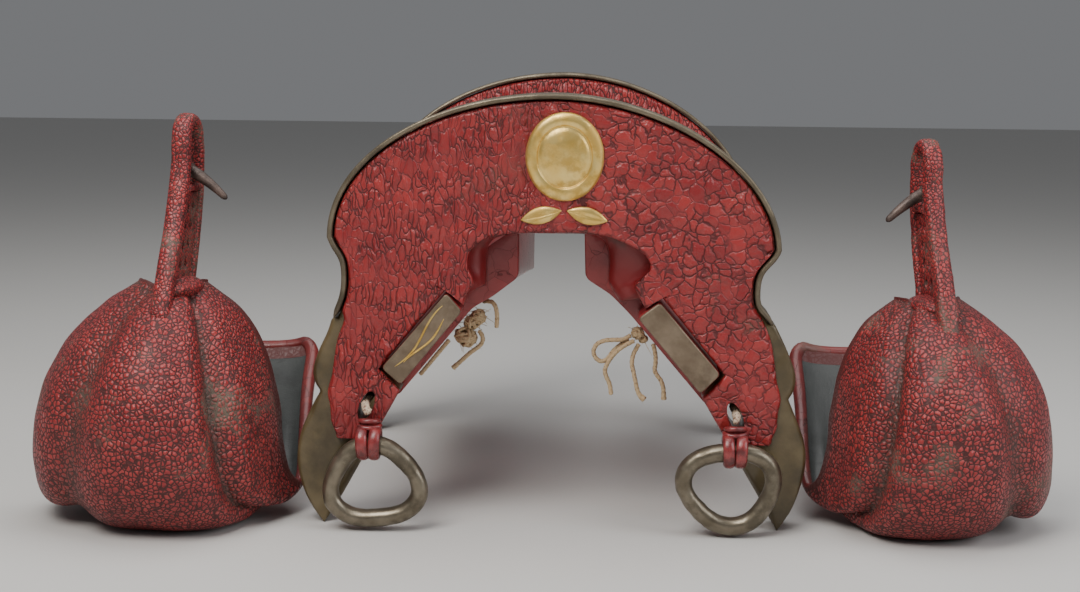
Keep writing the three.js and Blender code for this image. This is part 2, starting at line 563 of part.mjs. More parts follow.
// a block of the side view's outline, centred on the middle plane
const block = (spec, shape, width, bevel) => {
  const geometry = new THREE.ExtrudeGeometry(shape, {
    depth: width - 2 * bevel, bevelEnabled: bevel > 0, bevelThickness: bevel, bevelSize: bevel,
    bevelOffset: -bevel, bevelSegments: 1,
  });
  return moved(geometry, (p) => p.set(width / 2 - bevel - p.z, -p.x, heightOf(spec, p.y)));
};
const piercings = () => {
  const holes = [];
  for (let row = 0; row < PIERCING.rows; row += 1) {
    for (const k of [-0.5, 0.5]) {
      const z = PIERCING.z + PIERCING.pitch * row;
      const u = PIERCING.u + PIERCING.lean * PIERCING.pitch * row + k * PIERCING.across;
      const hole = new THREE.Path();
      hole.moveTo(u + PIERCING.wide / 2, z);
      hole.lineTo(u, z + PIERCING.tall / 2);
      hole.lineTo(u - PIERCING.wide / 2, z);
      hole.lineTo(u, z - PIERCING.tall / 2);
      hole.closePath();
      holes.push(hole);
    }
  }
  return holes;
};

// ---------------------------------------------------------------- prong
const PIN_Z = 238.5;
function prongGeometry({ side }, z) {
  const eye = new THREE.LatheGeometry([
    [PRONG.bore, -3.5], [PRONG.eye, -3.5], [PRONG.eye, 3.5], [PRONG.bore, 3.5], [PRONG.bore, -3.5],
  ].map(([r, h]) => new THREE.Vector2(r, h)), 16);
  const shank = new THREE.CylinderGeometry(PRONG.tip, PRONG.root, PRONG.length - 3.4, 10);
  shank.translate(0, 3.4 + (PRONG.length - 3.4) / 2, 0);
  shank.rotateZ(-side * (Math.PI / 2 + radians(PRONG.droop)));
  shank.rotateX(Math.PI / 2);
  const prong = joined(eye, shank);
  prong.translate(0, 0, z);
  return prong;
}

// ---------------------------------------------------------------- stirrups
const placeOnNeck = (geometry, { side, neckSet }) => {
  geometry.translate(0, NECK.pivotU, 0);
  geometry.rotateZ(radians(side * NECK.twist));
  geometry.translate(side * neckSet, -NECK.pivotU, 0);
  return geometry;
};

const COLLAR = { u: 24, z: 161, size: [17, 25, 9] };
function neckGeometry(spec) {
  const outer = block(spec, shapeOf([...NECK_FRONT, ...loopArc(LOOP.radius, LOOP.rise, 12), ...NECK_REAR]),
    NECK.rib, 2.5);
  const windowTop = loopArc(LOOP.windowRadius, LOOP.windowRise, 8);
  const window = block(spec, shapeOf([...WINDOW, ...windowTop, ...WINDOW_REAR]), 40, 0);
  const field = block(spec, shapeOf([...FIELD, ...FIELD_FRONT]), 40, 0);
  const latticeShape = shapeOf([...FIELD, ...FIELD_FRONT]);
  latticeShape.holes = piercings();
  const lattice = block(spec, latticeShape, NECK.panel, 0);
  lattice.scale(1, 1.03, 1);
  const collar = new THREE.SphereGeometry(1, 16, 10);
  collar.scale(...COLLAR.size);
  collar.translate(0, -COLLAR.u, heightOf(spec, COLLAR.z));
  const pin = new THREE.CylinderGeometry(PRONG.pin, PRONG.pin, 26, 12);
  pin.translate(0, -LOOP.u, heightOf(spec, PIN_Z));
  const neck = joined(cut(outer, window, field), lattice, collar, pin);
  const clearance = shellGeometry(spec, -2 * GAP, (t, s) => wallAt(t, s) + 2 * GAP);
  const above = clearance.clone().translate(0, 0, 1.5 * GAP);
  return largest(cut(placeOnNeck(neck, spec), clearance, above));
}

const BED = { t: [0.03, 0.36, 8], s: [-0.86, 0.86, 9], thickness: 2 };
function bedGeometry(spec) {
  const slab = sheet(BED.t, BED.s,
    (t, s) => skinPoint(spec, t, s, wallAt(t, s) - 1),
    (t, s) => skinPoint(spec, t, s, wallAt(t, s) + GAP + BED.thickness));
  const clearance = shellGeometry(spec, 0, (t, s) => wallAt(t, s) + GAP);
  return largest(cut(spec.side > 0 ? reversed(slab) : slab, clearance));
}

for (const spec of STIRRUPS) {
  const stirrup = new THREE.Group();
  stirrup.position.set(spec.x, spec.y, 0);
  stirrup.rotation.z = -radians(spec.yaw);
  group.add(stirrup);
  add(`stirrup_hood_${spec.name}`, shellGeometry(spec, 0, wallAt), RED_LEATHER, stirrup);
  add(`stirrup_bed_${spec.name}`, bedGeometry(spec), SLATE, stirrup);
  add(`stirrup_neck_${spec.name}`, neckGeometry(spec), RED_LEATHER, stirrup);
  const prong = prongGeometry(spec, heightOf(spec, PIN_Z));
  prong.translate(0, -LOOP.u, 0);
  add(`stirrup_prong_${spec.name}`, placeOnNeck(prong, spec), IRON, stirrup);
}

group.position.set(-SET_CENTRE.x, -SET_CENTRE.y, -SET_CENTRE.z);
group.updateMatrixWorld(true);
export default group;
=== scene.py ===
# %% [markdown]
# # A warrior's saddle with its pair of stirrups
# The object is a wooden saddle tree covered in red grained leather, with two hanging rings,
# and two deep bowl stirrups in the same leather. Every piece is a surface worked out with
# numpy: an outline or a formula gives rows of points, and the rows become a mesh. The packed
# CAD model is the frame that gives the bodies, and each new piece rides on one of them.

# %% The frame, and the box that the CAD fills
import math

import bmesh
import bpy
import numpy as np
from mathutils import Matrix, Vector


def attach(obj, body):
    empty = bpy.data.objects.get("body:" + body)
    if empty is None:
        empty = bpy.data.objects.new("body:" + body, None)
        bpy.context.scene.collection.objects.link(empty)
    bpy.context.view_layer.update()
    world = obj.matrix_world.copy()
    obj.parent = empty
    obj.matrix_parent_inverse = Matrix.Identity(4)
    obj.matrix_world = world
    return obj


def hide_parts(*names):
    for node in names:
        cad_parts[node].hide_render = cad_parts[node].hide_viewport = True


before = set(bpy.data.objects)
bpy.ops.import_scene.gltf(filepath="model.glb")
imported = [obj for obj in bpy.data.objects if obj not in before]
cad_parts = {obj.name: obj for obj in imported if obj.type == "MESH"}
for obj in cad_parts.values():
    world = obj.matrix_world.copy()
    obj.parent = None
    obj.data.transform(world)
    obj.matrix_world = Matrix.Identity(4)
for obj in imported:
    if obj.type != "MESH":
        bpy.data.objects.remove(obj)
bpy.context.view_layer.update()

# %% [markdown]
# All shapes are drawn in millimetres in a drawing frame: x across the saddle, y backwards
# from the face of the front arch, z up from the ground. `placed` turns that into the metres
# of the model's own frame, whose origin is the middle of the set on the ground. The camera
# stands in front, a little above the crown, and looks slightly down.

# %% Drawing frame and camera
GROUND = 0.41
SET_CENTRE = np.array([-8.325, 144.553, GROUND])
EYE = (30.0, -1235.0, 328.0)
HEADING, PITCH, ROLL = (math.radians(a) for a in (-1.85, 7.85, 0.6))
LENS, SENSOR_WIDTH, FARTHEST = 62.4, 36.0, 50


def placed(points):
    """Takes away the middle of the set and turns millimetres into metres."""
    return (np.asarray(points, float) - SET_CENTRE) / 1000.0


def linked(name, data):
    """A new object in the scene, at the origin."""
    made = bpy.data.objects.new(name, data)
    bpy.context.scene.collection.objects.link(made)
    return made


def standing(axes, place):
    """The matrix of a thing with the given x, y and z axes at a place."""
    rows = np.eye(4)
    rows[:3, :3], rows[:3, 3] = np.transpose(axes), placed(place)
    return Matrix(rows.tolist())


forward = np.array([math.sin(HEADING) * math.cos(PITCH), math.cos(HEADING) * math.cos(PITCH),
                    -math.sin(PITCH)])
level = np.array([math.cos(HEADING), -math.sin(HEADING), 0.0])
upright = np.cross(level, forward)
right = level * math.cos(ROLL) + upright * math.sin(ROLL)
up = upright * math.cos(ROLL) - level * math.sin(ROLL)

camera_data = bpy.data.cameras.new("camera")
camera_data.lens, camera_data.sensor_width, camera_data.clip_end = LENS, SENSOR_WIDTH, FARTHEST
camera = linked("camera", camera_data)
camera.matrix_world = standing([right, up, -forward], EYE)
bpy.context.scene.camera = camera

# %% [markdown]
# A row of points is a line, and rows of points are a surface. `surface` takes one grid or
# several, joins their equal corners, closes what is left open and makes one mesh with outward
# faces. It also says which body carries the piece and which plain solid it stands for.

# %% Grids of points become pieces
WELD, FINE_WELD = 2e-5, 1e-5  # corners nearer than this, in metres, become one
SLOTS = {name: name for name in ("edge_metal", "ring_metal", "gilt", "iron", "slate", "dark_leather")}
SLOTS |= {"toe_lacquer": "brown_lacquer", "tip_metal": "edge_metal", "twine_fibre": "twine",
          "braid_fibre": "braid"}


def stacked(*coordinates):
    """Spreads coordinates to one common shape and makes them points."""
    return np.stack(np.broadcast_arrays(*coordinates), axis=-1)


def once_round(count):
    """Angles at equal steps of a full turn."""
    return np.linspace(0, 2 * math.pi, count, endpoint=False)


def grid_faces(rows, columns, closed=True):
    """Each face joins row i and i+1 and column j and j+1; closed columns wrap round."""
    i, j = np.meshgrid(np.arange(rows - 1), np.arange(columns if closed else columns - 1), indexing="ij")
    beside = (j + 1) % columns
    corners = [i * columns + j, (i + 1) * columns + j, (i + 1) * columns + beside, i * columns + beside]
    return np.stack(corners, axis=-1).reshape(-1, 4)


def wrapped(grid):
    """A grid whose last row is its first again."""
    return np.concatenate([grid, grid[:1]])


def lengths(points, axis):
    """The running length along one direction of a grid, in metres, averaged over the other."""
    steps = np.linalg.norm(np.diff(points, axis=axis), axis=2).mean(axis=1 - axis)
    return np.concatenate([[0.0], np.cumsum(steps)])


def made_solid(mesh, weld):
    """Joins near corners, closes holes and turns the faces outwards."""
    work = bmesh.new()
    work.from_mesh(mesh)
    bmesh.ops.remove_doubles(work, verts=work.verts, dist=weld)
    bmesh.ops.holes_fill(work, edges=[e for e in work.edges if e.is_boundary], sides=0)
    bmesh.ops.recalc_face_normals(work, faces=work.faces)
    work.to_mesh(mesh)
    work.free()


def made_piece(name, mesh, material, body="saddle", replaces=()):
    """Gives a mesh its finish, its body and the solid that it stands for.

    The frame's own materials may hold a finish's name, and Blender then adds a number to it.
    """
    mesh.materials.clear()
    mesh.materials.append(material)
    piece = linked(name, mesh)
    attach(piece, body)
    if replaces:
        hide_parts(*replaces)
    print(f"{name}: {len(mesh.polygons)} faces")
    return piece


def surface(name, grids, material, marks=None, closed=True, **place):
    """Builds one piece from a grid of points in drawing millimetres, or from a list of grids.

    marks, where given, holds two shares for each point of the first grid, for its finish.
    """
    points, faces, uvs, start = [], [], [], 0
    for grid in grids if isinstance(grids, list) else [grids]:
        metres = placed(grid)
        rows, columns = metres.shape[:2]
        uvs.append(stacked(lengths(metres, 0)[:, None], lengths(metres, 1)).reshape(-1, 2))
        points.append(metres.reshape(-1, 3))
        faces.append(grid_faces(rows, columns, closed) + start)
        start += rows * columns
    points, faces, uvs = np.concatenate(points), np.concatenate(faces), np.concatenate(uvs)
    mesh = bpy.data.meshes.new(name)
    mesh.from_pydata(points, [], faces)
    layers = {"length": uvs} if marks is None else {"length": uvs, "marks": marks.reshape(-1, 2)}
    for label, values in layers.items():
        layer = mesh.uv_layers.new(name=label)
        layer.data.foreach_set("uv", values[faces.ravel()].astype(np.float32).ravel())
    made_solid(mesh, WELD)
    mesh.polygons.foreach_set("use_smooth", np.full(len(mesh.polygons), True))
    return made_piece(name, mesh, material, **place)


def final_mesh(maker):
    """The mesh that an object's curve or modifiers give."""
    bpy.context.view_layer.update()
    worked_out = maker.evaluated_get(bpy.context.evaluated_depsgraph_get())
    return bpy.data.meshes.new_from_object(worked_out)


# %% [markdown]
# Drawn lines are short tables of places. `smooth_line` carries a Catmull-Rom curve
# through them, and `resampled` spreads points along a line at equal steps of its length.

# %% Lines through places
def with_neighbours(rows):
    """Adds a row before the first and after the last, so that every span has neighbours."""
    return np.concatenate([[2 * rows[0] - rows[1]], rows, [2 * rows[-1] - rows[-2]]])


def catmull_rom(a, b, c, d, f):
    """A cubic from b to c, set by the neighbours a and d; f runs from 0 to 1."""
    return 0.5 * (2 * b + (c - a) * f + (2 * a - 5 * b + 4 * c - d) * f**2
                  + (3 * b - a - 3 * c + d) * f**3)


def smooth_line(places, steps=12):
    """A Catmull-Rom curve with the given number of steps in each span."""
    p = with_neighbours(np.asarray(places, float))
    f = np.linspace(0, 1, steps, endpoint=False)[:, None]
    spans = [catmull_rom(*p[k:k + 4], f) for k in range(len(p) - 3)]
    return np.concatenate(spans + [p[-2:-1]])


def run(line):
    """The running length of a line from its start."""
    return np.concatenate([[0.0], np.cumsum(np.linalg.norm(np.diff(line, axis=0), axis=1))])


def at_lengths(line, where):
    """Places on a line at the given running lengths."""
    length = run(line)
    return np.stack([np.interp(where, length, column) for column in line.T], axis=-1)


def resampled(line, count):
    return at_lengths(line, np.linspace(0, run(line)[-1], count))


def unit(vectors):
    return vectors / np.linalg.norm(vectors, axis=-1, keepdims=True).clip(1e-9)


def shifted(line, distance):
    """Moves an open line to the right of its travel; its first point moves straight down."""
    ahead = unit(np.concatenate([line[1:], line[-1:]]) - np.concatenate([line[:1], line[:-1]]))
    moved = line + distance * np.stack([ahead[:, 1], -ahead[:, 0]], axis=-1)
    moved[0] = line[0] + [0, -distance]
    return moved


def waves(points, size, seed, count=14):
    """A smooth random field: the mean of plane waves in random directions, about size mm long."""
    random = np.random.default_rng(seed)
    directions = unit(random.normal(size=(count, 3)))
    rates = directions * (2 * math.pi / size) * random.uniform(0.6, 1.5, (count, 1))
    phases = random.uniform(0, 2 * math.pi, count)
    return np.sin(points @ rates.T + phases).sum(axis=-1) / math.sqrt(count)


def square_to(path, reference):
    """The direction of travel along a path, and two directions square to it."""
    ahead = unit(np.gradient(path, axis=0))
    side = unit(np.cross(ahead, reference))
    return ahead, side, np.cross(ahead, side)


def capped(rings, path, ahead, reach):
    """Closes a tube's ends in points that lie a short reach past its path."""
    reach = np.broadcast_to(reach, len(path))
    first, last = [np.tile(path[k] + way * reach[k] * ahead[k], (1, rings.shape[1], 1))
                   for k, way in ((0, -1), (-1, 1))]
    return np.concatenate([first, rings, last])


def tube(path, radius, sides=12):
    """Circles set square to a line, carried along it without twisting; radius may vary."""
    path = np.asarray(path, float)
    radius = np.broadcast_to(np.asarray(radius, float), len(path))
    ahead, side, other = square_to(path, [0.31, 0.24, 0.92])
    a = once_round(sides)[None, :, None]
    rings = path[:, None] + radius[:, None, None] * (np.cos(a) * side[:, None] + np.sin(a) * other[:, None])
    return capped(rings, path, ahead, 0.6 * radius)


# %% [markdown]
# ## Finishes
# The covering is real leather: it has shrunk over the wood into pebbles with creases between
# them, painted dark as shade or dusty where dirt lies, and its tops have been polished by hands.
# An effect that several finishes use is a node group: `grain` makes the pebbles, `stain` makes
# large soft patches of dirt.

# %% Helpers for node materials
def set_inputs(tree, sockets, values):
    """Links each value that is another node's output, and sets the others."""
    for key, value in values.items():
        if isinstance(value, bpy.types.NodeSocket):
            tree.links.new(value, sockets[key])
        else:
            sockets[key].default_value = value


def node(tree, kind, inputs=None, **settings):
    """Adds one shader node, sets its properties, and sets or links its inputs."""
    made = tree.nodes.new(f"ShaderNode{kind}")
    for key, value in settings.items():
        setattr(made, key, value)
    set_inputs(tree, made.inputs, inputs or {})
    return made


def node_group(name, inputs, outputs):
    """A shader group with named inputs, given as name: default, and named outputs."""
    group = bpy.data.node_groups.new(name, "ShaderNodeTree")
    for label, default in inputs.items():
        kind = "Vector" if default is None else "Float"
        socket = group.interface.new_socket(label, in_out="INPUT", socket_type=f"NodeSocket{kind}")
        if default is not None:
            socket.default_value = default
    for label in outputs:
        group.interface.new_socket(label, in_out="OUTPUT", socket_type="NodeSocketFloat")
    return group, group.nodes.new("NodeGroupInput").outputs, group.nodes.new("NodeGroupOutput").inputs


def remap(tree, value, low, high, to_low=0.0, to_high=1.0):
    """A soft step from low to high."""
    limits = {"Value": value, "From Min": low, "From Max": high, "To Min": to_low, "To Max": to_high}
    return node(tree, "MapRange", limits, interpolation_type="SMOOTHSTEP").outputs["Result"]


def mixed(tree, factor, a, b):
    """A colour between a and b."""
    return node(tree, "Mix", {0: factor, 6: a, 7: b}, data_type="RGBA").outputs[2]


def blended(tree, factor, a, b):
    """A number between a and b."""
    return node(tree, "Mix", {0: factor, 2: a, 3: b}, data_type="FLOAT").outputs[0]


def arithmetic(tree, operation, a, b):
    return node(tree, "Math", {0: a, 1: b}, operation=operation).outputs[0]


def plus(tree, a, b):
    return arithmetic(tree, "ADD", a, b)


def times(tree, a, b):
    return arithmetic(tree, "MULTIPLY", a, b)


def vector_math(tree, operation, inputs):
    return node(tree, "VectorMath", inputs, operation=operation).outputs[0]


def stretched(tree, vector, scale):
    return node(tree, "Mapping", {"Vector": vector, "Scale": scale}).outputs[0]


def side_of(tree, place):
    """The x coordinate of a place."""
    return node(tree, "SeparateXYZ", {0: place}).outputs[0]


def noise(tree, vector, scale, detail=3.0, roughness=0.55):
    values = {"Vector": vector, "Scale": scale, "Detail": detail, "Roughness": roughness}
    return node(tree, "TexNoise", values).outputs["Fac"]


def use(tree, group, **inputs):
    """Places a group and sets its inputs; a name's underscores stand for spaces."""
    made = node(tree, "Group", node_tree=group)
    set_inputs(tree, made.inputs, {key.replace("_", " "): value for key, value in inputs.items()})
    return made.outputs


# %% [markdown]
# A pebble is one cell of a Voronoi pattern. The distance to the cell's edge gives the crease,
# and a dome or a flat flake rises inside it. A little noise bends the cells, so that no row
# of them is straight.

# %% Group: pebbled grain
grain, inlet, outlet = node_group("grain", {"Vector": None, "Cells per metre": 200.0, "Wander": 0.3,
                                            "Crease width": 0.12, "Roundness": 0.5},
                                  ("Height", "Crease", "Tone"))
wander = node(grain, "TexNoise", {"Vector": inlet["Vector"], "Scale": 90.0, "Detail": 2.0})
offset = vector_math(grain, "SUBTRACT", {0: wander.outputs["Color"], 1: (0.5, 0.5, 0.5)})
reach = arithmetic(grain, "DIVIDE", inlet["Wander"], 60.0)
warped = vector_math(grain, "ADD", {0: inlet["Vector"],
                                    1: vector_math(grain, "SCALE", {0: offset, "Scale": reach})})
pattern = {"Vector": warped, "Scale": inlet["Cells per metre"], "Randomness": 0.9}
from_edge = node(grain, "TexVoronoi", pattern, feature="DISTANCE_TO_EDGE").outputs["Distance"]
cells = node(grain, "TexVoronoi", pattern).outputs
crease = node(grain, "MapRange", {"Value": from_edge, "From Max": inlet["Crease width"]},
              interpolation_type="SMOOTHSTEP").outputs["Result"]
flake = arithmetic(grain, "POWER", remap(grain, from_edge, 0.0, 0.5), 0.45)
bead = remap(grain, cells["Distance"], 0.62, 0.0)
dome = blended(grain, inlet["Roundness"], flake, bead)
tone = node(grain, "SeparateColor", {0: cells["Color"]}).outputs[0]
set_inputs(grain, outlet, {"Height": plus(grain, times(grain, crease, 0.45), dome),
                           "Crease": crease, "Tone": tone})

# %% [markdown]
# Dirt and wear lie in large soft patches: noise above a level that falls as their amount grows.

# %% Group: stains and wear
stain, inlet, outlet = node_group("stain", {"Vector": None, "Patches per metre": 20.0, "Amount": 0.5},
                                  ("Mask",))
patches = noise(stain, inlet["Vector"], inlet["Patches per metre"], 5.0, 0.62)
from_level = arithmetic(stain, "SUBTRACT", 0.78, times(stain, inlet["Amount"], 0.5))
set_inputs(stain, outlet, {"Mask": remap(stain, patches, from_level, plus(stain, from_level, 0.16))})


def patches_of(tree, place, scale, amount):
    """The stain group's mask at a place."""
    return use(tree, stain, Vector=place, Patches_per_metre=scale, Amount=amount)["Mask"]


def finish_material(name, roughness=0.5, metallic=0.0, coat=0.0):
    """A new material; returns it with its tree, its shader's inputs and the Object coordinates."""
    material = bpy.data.materials.new(name)
    material.use_nodes = True
    tree = material.node_tree
    shader = tree.nodes["Principled BSDF"].inputs
    set_inputs(tree, shader, {"Roughness": roughness, "Metallic": metallic, "Coat Weight": coat,
                              "Coat Roughness": 0.3})
    return material, tree, shader, node(tree, "TexCoord").outputs["Object"]


def bumped(tree, height, distance, strength=1.0):
    values = {"Height": height, "Distance": distance, "Strength": strength}
    return node(tree, "Bump", values).outputs[0]


# %% [markdown]
# The red leather has one recipe with different values: small even pebbles on the stirrups,
# larger flat flakes and wrinkles on the front arch, and fine upright grain on the rear arch.

# %% Red leather
# The grooves' colour is dust together with painted shade.
GROOVE_DUST_AND_SHADE, LINING = (0.05, 0.036, 0.027, 1), (0.085, 0.017, 0.015, 1)
LINING_RELIEF = 0.12  # share of the grain's relief that a smooth lining keeps


def pebbled(tree, place, cells, wander, crease_width, roundness=0.4, stretch=(1, 1, 1)):
    """The grain's height, crease and tone, with its pebbles stretched along an axis."""
    made = use(tree, grain, Vector=stretched(tree, place, stretch), Cells_per_metre=cells,
               Wander=wander, Crease_width=crease_width, Roundness=roundness)
    return {key: made[key] for key in ("Height", "Crease", "Tone")}


def red_leather(name, pebbles, depth, wrinkles=None, red=(0.26, 0.017, 0.019, 1),
                light=(0.4, 0.04, 0.037, 1), dark=(0.06, 0.01, 0.009, 1), dust=(0.12, 0.095, 0.07, 1),
                dust_amount=0.42, roughness=0.34, coat=0.12, even=1.0, marked=False):
    """Grained red leather; wrinkles, where given, take over on the side of x below zero.

    even is the share of the grain that is left where it is faintest. A marked piece has a
    share of groove, which gathers dust and is painted darker as shade, and a share of lining,
    which is smooth and brown.
    """
    material, tree, shader, place = finish_material(name, coat=coat)
    pebbles = pebbled(tree, place, **pebbles)
    if wrinkles:
        finer = pebbled(tree, place, **wrinkles)
        border = plus(tree, side_of(tree, place), times(tree, noise(tree, place, 25.0), 0.06))
        on_right = remap(tree, border, 0.0, 0.06)
        pebbles = {key: blended(tree, on_right, finer[key], pebbles[key]) for key in pebbles}
    presence = remap(tree, noise(tree, place, 42.0, 4.0), 0.36, 0.6, even, 1.0)
    crease = blended(tree, presence, 1.0, pebbles["Crease"])
    dirt = patches_of(tree, place, 17.0, dust_amount)
    shade = plus(tree, times(tree, pebbles["Tone"], 0.3), noise(tree, place, 46.0, 4.0))
    colour = mixed(tree, remap(tree, shade, 0.4, 0.95), red, light)
    # Creases take the dark colour, which is painted shade; where dirt lies they take the dust colour.
    colour = mixed(tree, remap(tree, crease, 0.15, 0.85), mixed(tree, dirt, dark, dust), colour)
    colour = mixed(tree, times(tree, dirt, 0.45), colour, dust)
    relief = presence
    if marked:
        marks = node(tree, "UVMap", uv_map="marks").outputs[0]
        shares = node(tree, "SeparateXYZ", {0: marks}).outputs
        patchy = remap(tree, noise(tree, place, 60.0), 0.2, 0.6, 0.35, 0.85)
        # Painted shade with dust: the grooves and the crown's top are darkened.
        colour = mixed(tree, times(tree, shares[0], patchy), colour, GROOVE_DUST_AND_SHADE)
        colour = mixed(tree, shares[1], colour, LINING)
        relief = blended(tree, shares[1], presence, LINING_RELIEF)
    gloss = plus(tree, remap(tree, crease, 0.0, 1.0, 0.75, roughness), times(tree, dirt, 0.15))
    fine = times(tree, noise(tree, place, 900.0, 2.0), 0.12)
    swelling = times(tree, noise(tree, place, 130.0, 4.0, 0.6), 1.6)
    height = plus(tree, plus(tree, pebbles["Height"], fine), swelling)
    set_inputs(tree, shader, {"Base Color": colour, "Roughness": gloss,
                              "Normal": bumped(tree, height, depth, relief)})
    return material


hood_leather = red_leather(
    "hood_leather", dict(cells=310.0, wander=0.2, crease_width=0.24, roundness=0.9),
    depth=0.0007, dust_amount=0.5, roughness=0.38, marked=True)
neck_leather = red_leather(
    "neck_leather", dict(cells=360.0, wander=0.25, crease_width=0.22, roundness=0.8),
    depth=0.0004, dust_amount=0.66, roughness=0.38)
arch_leather = red_leather(
    "arch_leather", dict(cells=130.0, wander=0.75, crease_width=0.11, roundness=0.55),
    depth=0.0013, roughness=0.32, coat=0.2, even=0.5,
    red=(0.225, 0.014, 0.016, 1), light=(0.34, 0.031, 0.029, 1),
    dark=(0.1, 0.01, 0.011, 1), dust=(0.13, 0.06, 0.045, 1),
    wrinkles=dict(cells=190.0, wander=0.9, crease_width=0.1, roundness=0.6, stretch=(1.2, 1, 0.55)))
rear_leather = red_leather(
    "rear_arch_leather", dict(cells=150.0, wander=0.4, crease_width=0.13, stretch=(2.2, 1, 0.8)),
    depth=0.0007)
lip_leather = red_leather(
    "lip_leather", dict(cells=90.0, wander=0.5, crease_width=0.02), depth=0.0002, dust_amount=0.5,
    red=(0.12, 0.014, 0.014, 1), light=(0.2, 0.03, 0.027, 1))
board_leather = red_leather(
    "board_leather", dict(cells=70.0, wander=0.5, crease_width=0.012, roundness=0.9),
    depth=0.0002, dust_amount=0.25, roughness=0.28, coat=0.2,
    red=(0.21, 0.014, 0.017, 1), light=(0.31, 0.03, 0.03, 1), dark=(0.12, 0.01, 0.01, 1))


# %% [markdown]
# Toes and flanks are brown lacquer over wood, rubbed lighter where hands and ground touch it.
# Metal bands and rings are grey bronze, satin, with darker patches. The ornament is gilt.

# %% Lacquer, metal and gilt
OPENING_REACH = 0.1  # metres from the middle within which the wood is lined with leather
LINING_RED, LINING_WORN = (0.2, 0.014, 0.016, 1), (0.035, 0.03, 0.024, 1)
TOE_BROWN, TOE_RUBBED = (0.068, 0.048, 0.02, 1), (0.15, 0.112, 0.054, 1)
TOE_DARK = (0.032, 0.024, 0.011, 1)


def patinated(name, colour, rubbed, dark, roughness, metallic, scale, coat=0.0, depth=0.0002):
    """One colour, rubbed lighter in small patches and darker in large ones."""
    material, tree, shader, place = finish_material(name, roughness, metallic, coat)
    patches = patches_of(tree, place, scale, 0.62)
    small = patches_of(tree, place, scale * 2.7, 0.45)
    tone = mixed(tree, remap(tree, noise(tree, place, scale * 1.4, 5.0), 0.3, 0.7), colour, rubbed)
    tone = mixed(tree, times(tree, patches, 0.55), tone, dark)
    tone = mixed(tree, times(tree, small, 0.35), tone, rubbed)
    set_inputs(tree, shader, {"Base Color": tone,
                              "Roughness": plus(tree, times(tree, patches, 0.22), roughness),
                              "Normal": bumped(tree, noise(tree, place, 420.0, 6.0, 0.7), depth)})
    return material


def lined_wood(name):
    """The arches' lacquer, with red leather glued round the opening in the middle."""
    material, tree, shader, place = finish_material(name, 0.36, 0.1, 0.15)
    patches = patches_of(tree, place, 24.0, 0.6)
    tone = mixed(tree, remap(tree, noise(tree, place, 34.0, 5.0), 0.3, 0.7), TOE_BROWN, TOE_RUBBED)
    tone = mixed(tree, times(tree, patches, 0.5), tone, TOE_DARK)
    lining = mixed(tree, times(tree, patches, 0.6), LINING_RED, LINING_WORN)
    from_middle = arithmetic(tree, "SUBTRACT", side_of(tree, place), float(placed(np.zeros(3))[0]))
    from_middle = arithmetic(tree, "ABSOLUTE", from_middle, 0.0)
    inside = remap(tree, from_middle, OPENING_REACH + 0.002, OPENING_REACH)
    set_inputs(tree, shader, {"Base Color": mixed(tree, inside, tone, lining),
                              "Normal": bumped(tree, noise(tree, place, 300.0, 5.0, 0.65), 0.0002)})
    return material


toe_lacquer = lined_wood("toe_lacquer")
edge_metal = patinated("edge_metal", (0.12, 0.096, 0.062, 1), (0.22, 0.182, 0.125, 1),
                       (0.055, 0.044, 0.03, 1), 0.34, 0.55, 30.0)
tip_metal = patinated("tip_metal", (0.16, 0.115, 0.075, 1), (0.26, 0.2, 0.14, 1),
                      (0.09, 0.062, 0.038, 1), 0.3, 0.45, 40.0)
ring_metal = patinated("ring_metal", (0.145, 0.12, 0.083, 1), (0.25, 0.215, 0.16, 1),
                       (0.06, 0.05, 0.034, 1), 0.3, 0.75, 55.0, depth=0.00012)
gilt = patinated("gilt", (0.8, 0.52, 0.13, 1), (0.9, 0.67, 0.24, 1), (0.45, 0.26, 0.05, 1),
                 0.32, 0.85, 70.0, depth=0.00008)
iron = patinated("iron", (0.06, 0.042, 0.036, 1), (0.13, 0.09, 0.075, 1), (0.02, 0.016, 0.014, 1),
                 0.42, 0.4, 90.0)
slate = patinated("slate", (0.017, 0.02, 0.018, 1), (0.032, 0.036, 0.033, 1),
                  (0.009, 0.01, 0.01, 1), 0.42, 0.0, 26.0, coat=0.1)
dark_leather = patinated("dark_leather", (0.13, 0.014, 0.016, 1), (0.3, 0.04, 0.04, 1),
                         (0.04, 0.008, 0.008, 1), 0.24, 0.0, 120.0, coat=0.35)


# %% [markdown]
# Twine and braid are twisted fibres. Their relief is in the mesh; the finish adds fibres that
# run along the piece's own length, read from its UV map.

# %% Twine and braid
def fibrous(name, colour, light, dark, speckle):
    material, tree, shader, place = finish_material(name, 0.85)
    hairs = stretched(tree, node(tree, "UVMap", uv_map="length").outputs[0], (400, 3500, 1))
    strands = noise(tree, hairs, 1.0, 4.0)
    base = mixed(tree, remap(tree, strands, 0.3, 0.7), colour, light)
    spots = remap(tree, noise(tree, place, 700.0, 2.0), 0.62 - speckle, 0.72 - speckle)
    set_inputs(tree, shader, {"Base Color": mixed(tree, times(tree, spots, 0.8), base, dark),
                              "Normal": bumped(tree, strands, 0.0002)})
    return material


twine_fibre = fibrous("twine_fibre", (0.43, 0.29, 0.15, 1), (0.64, 0.49, 0.3, 1),
                      (0.13, 0.06, 0.03, 1), 0.02)
braid_fibre = fibrous("braid_fibre", (0.5, 0.36, 0.24, 1), (0.72, 0.6, 0.46, 1),
                      (0.16, 0.045, 0.035, 1), 0.1)

# %% [markdown]
# ## Thongs and twine
# Four thin strands are braided into each thong, and two are laid together in the twine. Both
# are tubes along the routes of the frame's cords, and the lay of the strands is relief on
# them: their radius swells where a strand lies on top.

